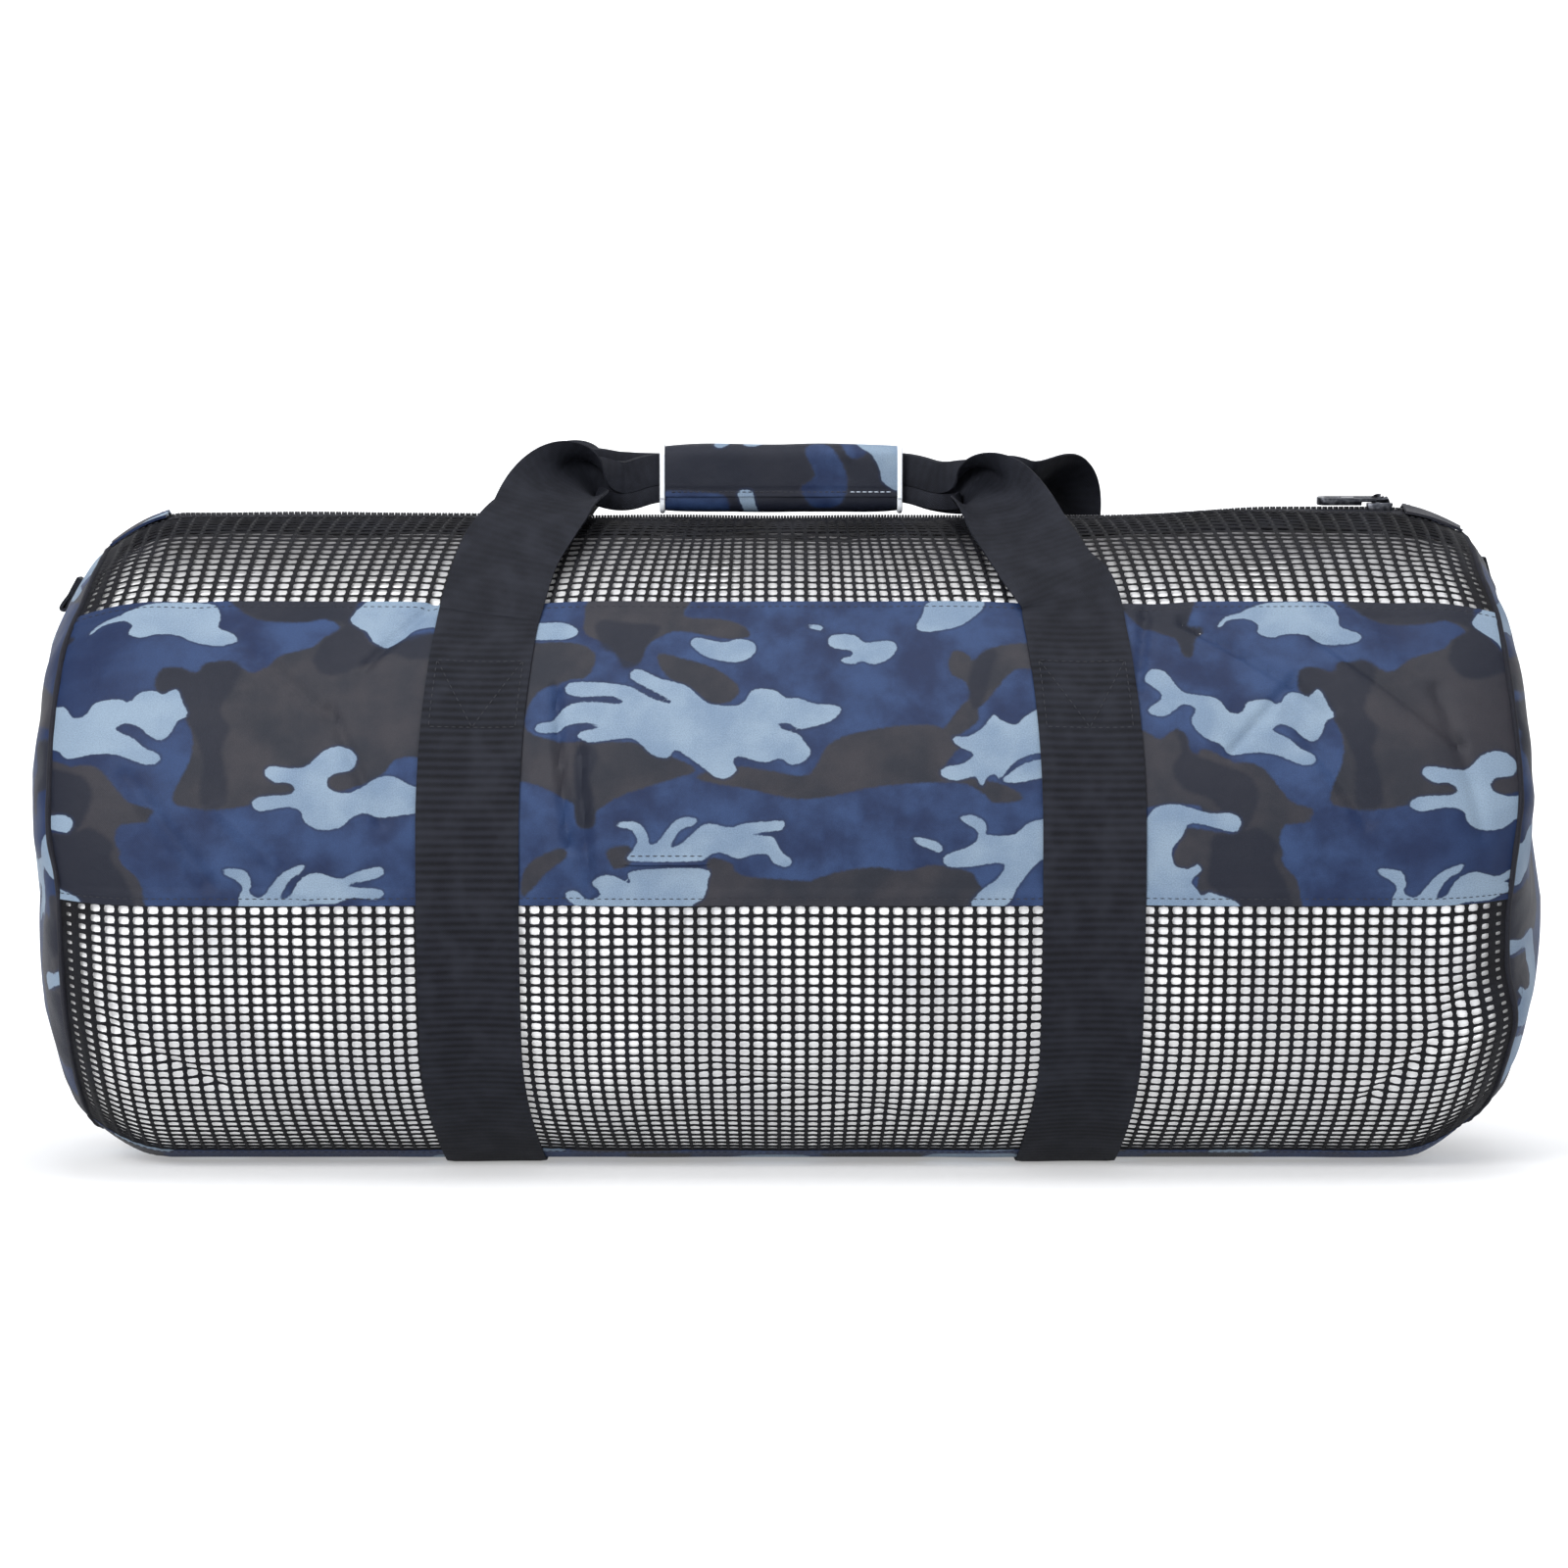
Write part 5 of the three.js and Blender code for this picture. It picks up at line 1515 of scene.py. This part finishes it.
def makeSlider():
    low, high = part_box("zip_slider")
    middle = (low + high) / 2
    plateTop = high.z - zipper["bowRise"] * mm
    width = high.y - low.y
    length = high.x - low.x
    body = addBox(
        (length, width, zipper["sliderWall"] * 1.25 * mm),
        (middle.x, 0, plateTop - zipper["sliderWall"] * 0.625 * mm),
        0.5 * mm,
        3,
    )
    bpy.ops.object.mode_set(mode="EDIT")
    built = bmesh.from_edit_mesh(body.data)
    for vertex in built.verts:
        share = (vertex.co.x - low.x) / length
        vertex.co.y *= 0.72 + 0.28 * math.sin(math.pi * min(1, share * 0.5 + 0.12)) ** 0.5
    bmesh.update_edit_mesh(body.data)
    bpy.ops.object.mode_set(mode="OBJECT")
    for side in (-1, 1):
        skirt = addBox(
            (length * 0.94, zipper["sliderWall"] * mm, 4.0 * mm),
            (middle.x, side * (width / 2 - 0.8 * mm), plateTop - 2.2 * mm),
            0.45 * mm,
            2,
        )
        cutWith(body, skirt, "UNION")
    bpy.ops.object.select_all(action="DESELECT")
    bpy.ops.mesh.primitive_plane_add(size=1, location=(middle.x - 4.8 * mm, 0, plateTop))
    bow = bpy.context.object
    bow.scale = (1.5 * mm, 2.6 * mm, 1)
    bpy.ops.object.transform_apply(location=True, rotation=True, scale=True)
    bpy.ops.object.mode_set(mode="EDIT")
    bpy.ops.mesh.select_all(action="SELECT")
    bpy.ops.mesh.spin(
        steps=18, angle=-math.pi, center=(middle.x, 0, plateTop - 0.9 * mm), axis=(0, 1, 0)
    )
    bpy.ops.mesh.select_all(action="SELECT")
    bpy.ops.mesh.edge_face_add()
    bpy.ops.object.mode_set(mode="OBJECT")
    cleanMesh(bow.data, 1e-6, close=True)
    squeeze = (high.z - plateTop) / (5.5 * mm - 0.9 * mm)
    for vertex in bow.data.vertices:
        vertex.co.z = plateTop + (vertex.co.z - plateTop) * min(1.0, squeeze)
    cutWith(body, bow, "UNION")
    return finishHard(body, "zipSlider", greyMetal, "bag", "zip_slider")


makeSlider()


def makePull():
    low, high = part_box("zip_pull")
    middle = (low + high) / 2
    size = high - low
    thick = zipper["pullWall"] * mm
    top = middle.z + 1.0 * mm
    plate = addBox((size.x, size.y, thick), (middle.x, 0, top - thick / 2))
    bpy.context.view_layer.objects.active = plate
    built = bmesh.new()
    built.from_mesh(plate.data)
    corners = [
        edge
        for edge in built.edges
        if abs(edge.verts[0].co.z - edge.verts[1].co.z) > mm
        and edge.verts[0].co.x < middle.x
    ]
    bmesh.ops.bevel(
        built, geom=corners, offset=size.y * 0.46, segments=8, profile=0.5, affect="EDGES"
    )
    built.to_mesh(plate.data)
    built.free()
    # room over the slider's plate
    cutWith(plate, addBox((15 * mm, 20 * mm, 6 * mm), (high.x, 0, middle.z - 4.1 * mm)))
    long, wide = (value * mm for value in zipper["fork"])
    cutWith(plate, addBox((long, wide, 8 * mm), (high.x - 6.6 * mm, 0, middle.z), 0.6 * mm, 3))
    long, wide = (value * mm for value in zipper["window"])
    cutWith(plate, addBox((long, wide, 8 * mm), (low.x + 8 * mm, 0, middle.z), 1.7 * mm, 4))
    rounding = plate.modifiers.new("rounding", "BEVEL")
    rounding.width = 0.35 * mm
    rounding.segments = 2
    rounding.limit_method = "ANGLE"
    rounding.angle_limit = math.radians(40)
    applyModifiers(plate)
    lean = Matrix.Rotation(math.radians(zipper["pullLean"]), 4, "X")
    toPin = Matrix.Translation((0, 0, middle.z))
    plate.data.transform(toPin @ lean @ toPin.inverted())
    return finishHard(plate, "zipPull", greyMetal, "zip_pull", "zip_pull")


makePull()


def makeZipEndTab(name, side):
    along = side * evenly(barrel["zipHalf"] - zipper["tabCover"], barrel["panelHalf"], 1.2)
    half = math.degrees(zipper["tabHalf"] / barrel["radius"])
    around = evenly(90 - half, 90 + half, 0.42)
    u, turn = np.meshgrid(along, around, indexing="ij")
    edge = (half - np.abs(turn - 90)) * arc
    near = np.minimum(np.abs(u - along[0]), edge)
    lift = 0.35 + (zipper["top"] + 0.5) * np.exp(-(((turn - 90) / 2.7) ** 2))
    lift = lift + 0.35 * (1 - smooth(near, 3.2, 4.4)) - 0.3 * np.exp(-(((near - 2.6) / 0.6) ** 2))
    values = camoValues(u, turn * arc, zipper["tabPrint"])
    outer = skin(u, turn, lift + barrel["cloth"], leans=False)
    inner = skin(u, turn, lift, leans=False)
    return makeWall(name, outer, inner, camoCloth, values=values, replaced=[nodeOf(name)])


zipEndTabs = [makeZipEndTab("zipEndTabLeft", -1), makeZipEndTab("zipEndTabRight", 1)]

# A loop of webbing sewn in at each end seam
pullTab = {"half": 12.5, "left": 0.11, "right": 0.08, "reach": 0.1, "round": 1.5, "wall": 1.6}


def makePullTab(name, side):
    half = math.degrees(pullTab["half"] / seamRadius)
    out = np.linspace(0, 1, 22)
    bend = np.linspace(-math.pi / 2, math.pi / 2, 12)[1:-1]
    share = np.concatenate([out, 1 + 0.08 * np.cos(bend), out[::-1]])
    share = pullTab["right" if side > 0 else "left"] + pullTab["reach"] * share
    low = 1.0
    high = np.concatenate(
        [
            np.full(len(out), low),
            low + pullTab["round"] * (1 + np.sin(bend)),
            low + 2 * pullTab["round"] * (0.56 + 0.44 * smooth(out[::-1], 0.5, 1)),
        ]
    )
    around = np.linspace(90 - half, 90 + half, 15)
    s, turn = np.meshgrid(share, around, indexing="ij")
    h = np.broadcast_to(high[:, None], s.shape)
    middle = dome(side, s, turn, h) / mm
    normals = gridNormals(np.gradient(middle, axis=0), middle)
    wall = pullTab["wall"] / 2
    reach = lengthsAlong(middle[:, 7])
    u = np.broadcast_to(reach[:, None], s.shape)
    v = (turn - 90) * math.radians(seamRadius)
    values = {"cloth": np.stack([u, v, np.ones_like(u)], -1)}
    return makeWall(
        name,
        (middle + normals * wall) * mm,
        (middle - normals * wall) * mm,
        blackWebbing,
        values=values,
        replaced=[nodeOf(name)],
    )


makePullTab("pullTabLeft", -1)
makePullTab("pullTabRight", 1)
print("zip and tabs made")

# Stitches
thread = {"length": 2.4, "pitch": 3.5, "gripPitch": 2.9, "radius": 0.27}


def addStitch():
    bpy.ops.object.select_all(action="DESELECT")
    bpy.ops.mesh.primitive_uv_sphere_add(segments=6, ring_count=4, radius=1)
    stitch = bpy.context.object
    stitch.rotation_euler = (0, math.pi / 2, 0)
    bpy.ops.object.transform_apply(location=True, rotation=True, scale=True)
    stitch.scale = (thread["length"] / 2 * mm, thread["radius"] * mm, thread["radius"] * mm)
    bpy.ops.object.transform_apply(location=True, rotation=True, scale=True)
    return stitch


# Places and axes of the stitches along a line, given by a function of a share from 0 to 1.
def stitchLine(line, pitch):
    fine = line(np.linspace(0, 1, 400))
    reach = lengthsAlong(fine)
    count = max(2, int(reach[-1] / (pitch * mm)))
    at = (np.arange(count) + 0.5) / count
    shares = np.interp(at * reach[-1], reach, np.linspace(0, 1, 400))
    places = line(shares)
    runs = line(np.clip(shares + 0.002, 0, 1)) - line(np.clip(shares - 0.002, 0, 1))
    runs /= np.linalg.norm(runs, axis=1, keepdims=True)
    ups = places - np.array([0, 0, axisHeight * mm])
    ups[:, 0] = 0
    ups -= runs * (ups * runs).sum(1, keepdims=True)
    ups /= np.linalg.norm(ups, axis=1, keepdims=True)
    return places, np.stack([runs, np.cross(ups, runs), ups], -1)


# A straight line on the bag's skin, as a function of a share from 0 to 1.
def onSkin(x0, a0, x1, a1, offset):
    def line(share):
        return skin(x0 + (x1 - x0) * share, a0 + (a1 - a0) * share, offset)

    return line


def makeStitching(name, lines, material):
    found = [stitchLine(line, thread["pitch"]) for line in lines]
    places = np.concatenate([place for place, _ in found])
    axes = np.concatenate([axis for _, axis in found])
    return makeCopies(name, addStitch(), places, axes, material)


def bandLines():
    lines = []
    netHem = barrel["hem"] - 1.9
    inset = band["stitch"] / arc
    whole = barrel["panelHalf"]
    for back in (False, True):
        for around in (barrel["bandTop"] - inset, barrel["bandBottom"] + inset):
            turn = 180 - around if back else around
            lines.append(onSkin(-whole, turn, whole, turn, 0.55))
        turn = 180 - netHem if back else netHem
        lines.append(onSkin(-whole, turn, whole, turn, 0.35))
    tuck = 1.2 / arc
    lines.append(onSkin(band["tuckFrom"], tuck, band["tuckTo"], tuck, 0.6))
    for turn in (barrel["ground"] - 1.3, -180 - barrel["ground"] + 1.3):
        lines.append(onSkin(-whole, turn, whole, turn, 0.3))
    return lines


# A stitched box with a triangle in it, near the end of each strap.
def strapLines():
    lines = []
    top = webbing["end"] - 10
    bottom = top - 12.5
    lift = 2.15
    half = 21
    for side in (-1, 1):
        middle = side * webbing["place"] + webbing["shift"]
        for back in (False, True):
            high, low = (180 - top, 180 - bottom) if back else (top, bottom)
            for x0, a0, x1, a1 in (
                (-half, high, half, high),
                (-half, high, 0, low),
                (half, high, 0, low),
                (-half, low, half, low),
                (-half, high, -half, low),
                (half, high, half, low),
            ):
                lines.append(onSkin(middle + x0, a0, middle + x1, a1, lift))
    return lines


makeStitching("bandStitching", bandLines(), darkThread)
makeStitching("strapStitching", strapLines(), darkThread)


# A row along the grip's flap, from one share of its length to another.
def makeGripStitches(name, start, end, material):
    depth = foldWall + 1.5 * barrel["gap"] + grip["wall"] + grip["flap"]
    flapEdge = gripHeight - webbing["width"] / 4 - barrel["gap"] - grip["wall"] + grip["flapShow"]
    z = flapEdge + grip["stitch"]
    half = grip["length"] / 2 - 3

    def line(share):
        x = webbing["shift"] + half * (2 * (start + (end - start) * share) - 1)
        return np.stack([x, np.full_like(x, -depth + 0.2), np.full_like(x, z)], -1) * mm

    places, _ = stitchLine(line, thread["gripPitch"])
    ups = np.tile([0.0, -1.0, 0.0], (len(places), 1))
    runs = np.tile([1.0, 0.0, 0.0], (len(places), 1))
    axes = np.stack([runs, np.cross(ups, runs), ups], -1)
    return makeCopies(name, addStitch(), places, axes, material)


makeGripStitches("gripStitching", 0, 0.8, darkThread)
makeGripStitches("paleGripStitching", 0.81, 1, paleThread)
print("stitches made")


# Areas and flat sizes of the net panels, and the grip's length round, worked out but not used
def declareCloth():
    whole = 2 * barrel["panelHalf"] * mm
    edges = ("bandTop", "bandBottom", "ground", "hem")
    bandTop, bandLow, ground, hem = (barrel[key] for key in edges)
    netEdges = [(bandTop, hem), (bandTop, hem), (ground, bandLow), (ground, bandLow)]
    for piece, (low, high) in zip(nets, netEdges):
        cut = sum(polygon.area for polygon in piece.data.polygons) / 2
        flat = (whole, (high - low) * arc * mm)
        min(cut, flat[0] * flat[1])
    gripRound = gripPath(grip["wall"] / 2)[1][-1] * mm


declareCloth()

# Floor, lights and camera
view = {
    "target": (-1, 0, 188.5),
    "distance": 3165,
    "elevation": 3.0,
    "lens": 142.4,
}
# In metres, with how strongly it glows behind the bag and in front of it
stageSize = {"floor": 4, "bend": 1.5, "height": 6, "drop": 0.0006, "glow": 0.5, "frontGlow": 0.2}


# A pale floor that bends up into a wall all round
def makeStage():
    bend = np.linspace(0, math.pi / 2, 17)
    reach = stageSize["floor"] + stageSize["bend"] * np.sin(bend)
    rise = stageSize["bend"] * (1 - np.cos(bend))
    reach = np.concatenate([[0, 1, 2.5], reach, reach[-1:]])
    rise = np.concatenate([[0, 0, 0], rise, [stageSize["height"]]]) - stageSize["drop"]
    turn = np.linspace(0, 2 * math.pi, 64, endpoint=False)
    x, y = np.cos(turn)[:, None] * reach, np.sin(turn)[:, None] * reach
    z = np.broadcast_to(rise, x.shape)
    index = np.arange(x.size).reshape(x.shape)
    index = np.concatenate([index, index[:1]])
    faces = gridFaces(index, flipped=True)
    mesh = bpy.data.meshes.new("paleStage")
    mesh.from_pydata(np.stack([x, y, z], -1).reshape(-1, 3).tolist(), [], faces.tolist())
    built = bmesh.new()
    built.from_mesh(mesh)
    bmesh.ops.remove_doubles(built, verts=built.verts, dist=1e-5)
    built.to_mesh(mesh)
    built.free()
    mesh.shade_smooth()
    stage = bpy.data.objects.new("paleStage", mesh)
    bpy.context.scene.collection.objects.link(stage)
    material, shader, start = newMaterial(
        "paleStage", {"Roughness": 0.7, "Specular IOR Level": 0.1, "Emission Strength": 1.0}
    )
    shader.inputs["Base Color"].default_value = tint(205, 206, 208)
    behind = start.objectPlace().part("Y").step(-1.5, 1.5)
    front, back = ((value, value, value, 1) for value in (stageSize["frontGlow"], stageSize["glow"]))
    join(shader, glow=behind.blend(front, back))
    mesh.materials.append(material)


makeStage()
world = bpy.data.worlds.new("paleStudio")
bpy.context.scene.world = world
world.use_nodes = True
world.node_tree.nodes["Background"].inputs["Color"].default_value = (1, 1, 1, 1)
world.node_tree.nodes["Background"].inputs["Strength"].default_value = 0.4

# Name, place and target in metres, size and power
lights = [
    ("keyLight", (-1.2, -2.7, 1.5), (0, 0, 0.17), 1.1, 84),
    ("topLight", (0.2, -0.5, 2.5), (0, 0, 0.2), 1.8, 50),
    ("backLight", (0, 2.6, 3.6), (0, 5.5, 1.2), 2.5, 110),
]
for name, place, aim, size, power in lights:
    lamp = bpy.data.lights.new(name, "AREA")
    lamp.size = size
    lamp.energy = power
    item = bpy.data.objects.new(name, lamp)
    item.location = place
    item.rotation_euler = (Vector(aim) - Vector(place)).to_track_quat("-Z", "Y").to_euler()
    bpy.context.scene.collection.objects.link(item)

camera = bpy.data.cameras.new("photoCamera")
camera.lens = view["lens"]
camera.sensor_width = 36
camera.clip_end = 50
eye = bpy.data.objects.new("photoCamera", camera)
target = Vector(view["target"]) * mm
rise = math.radians(view["elevation"])
eye.location = target + Vector((0, -math.cos(rise), math.sin(rise))) * view["distance"] * mm
eye.rotation_euler = (target - eye.location).to_track_quat("-Z", "Y").to_euler()
bpy.context.scene.collection.objects.link(eye)
bpy.context.scene.camera = eye
bpy.context.scene.view_settings.view_transform = "Standard"
print("camera and lights placed")
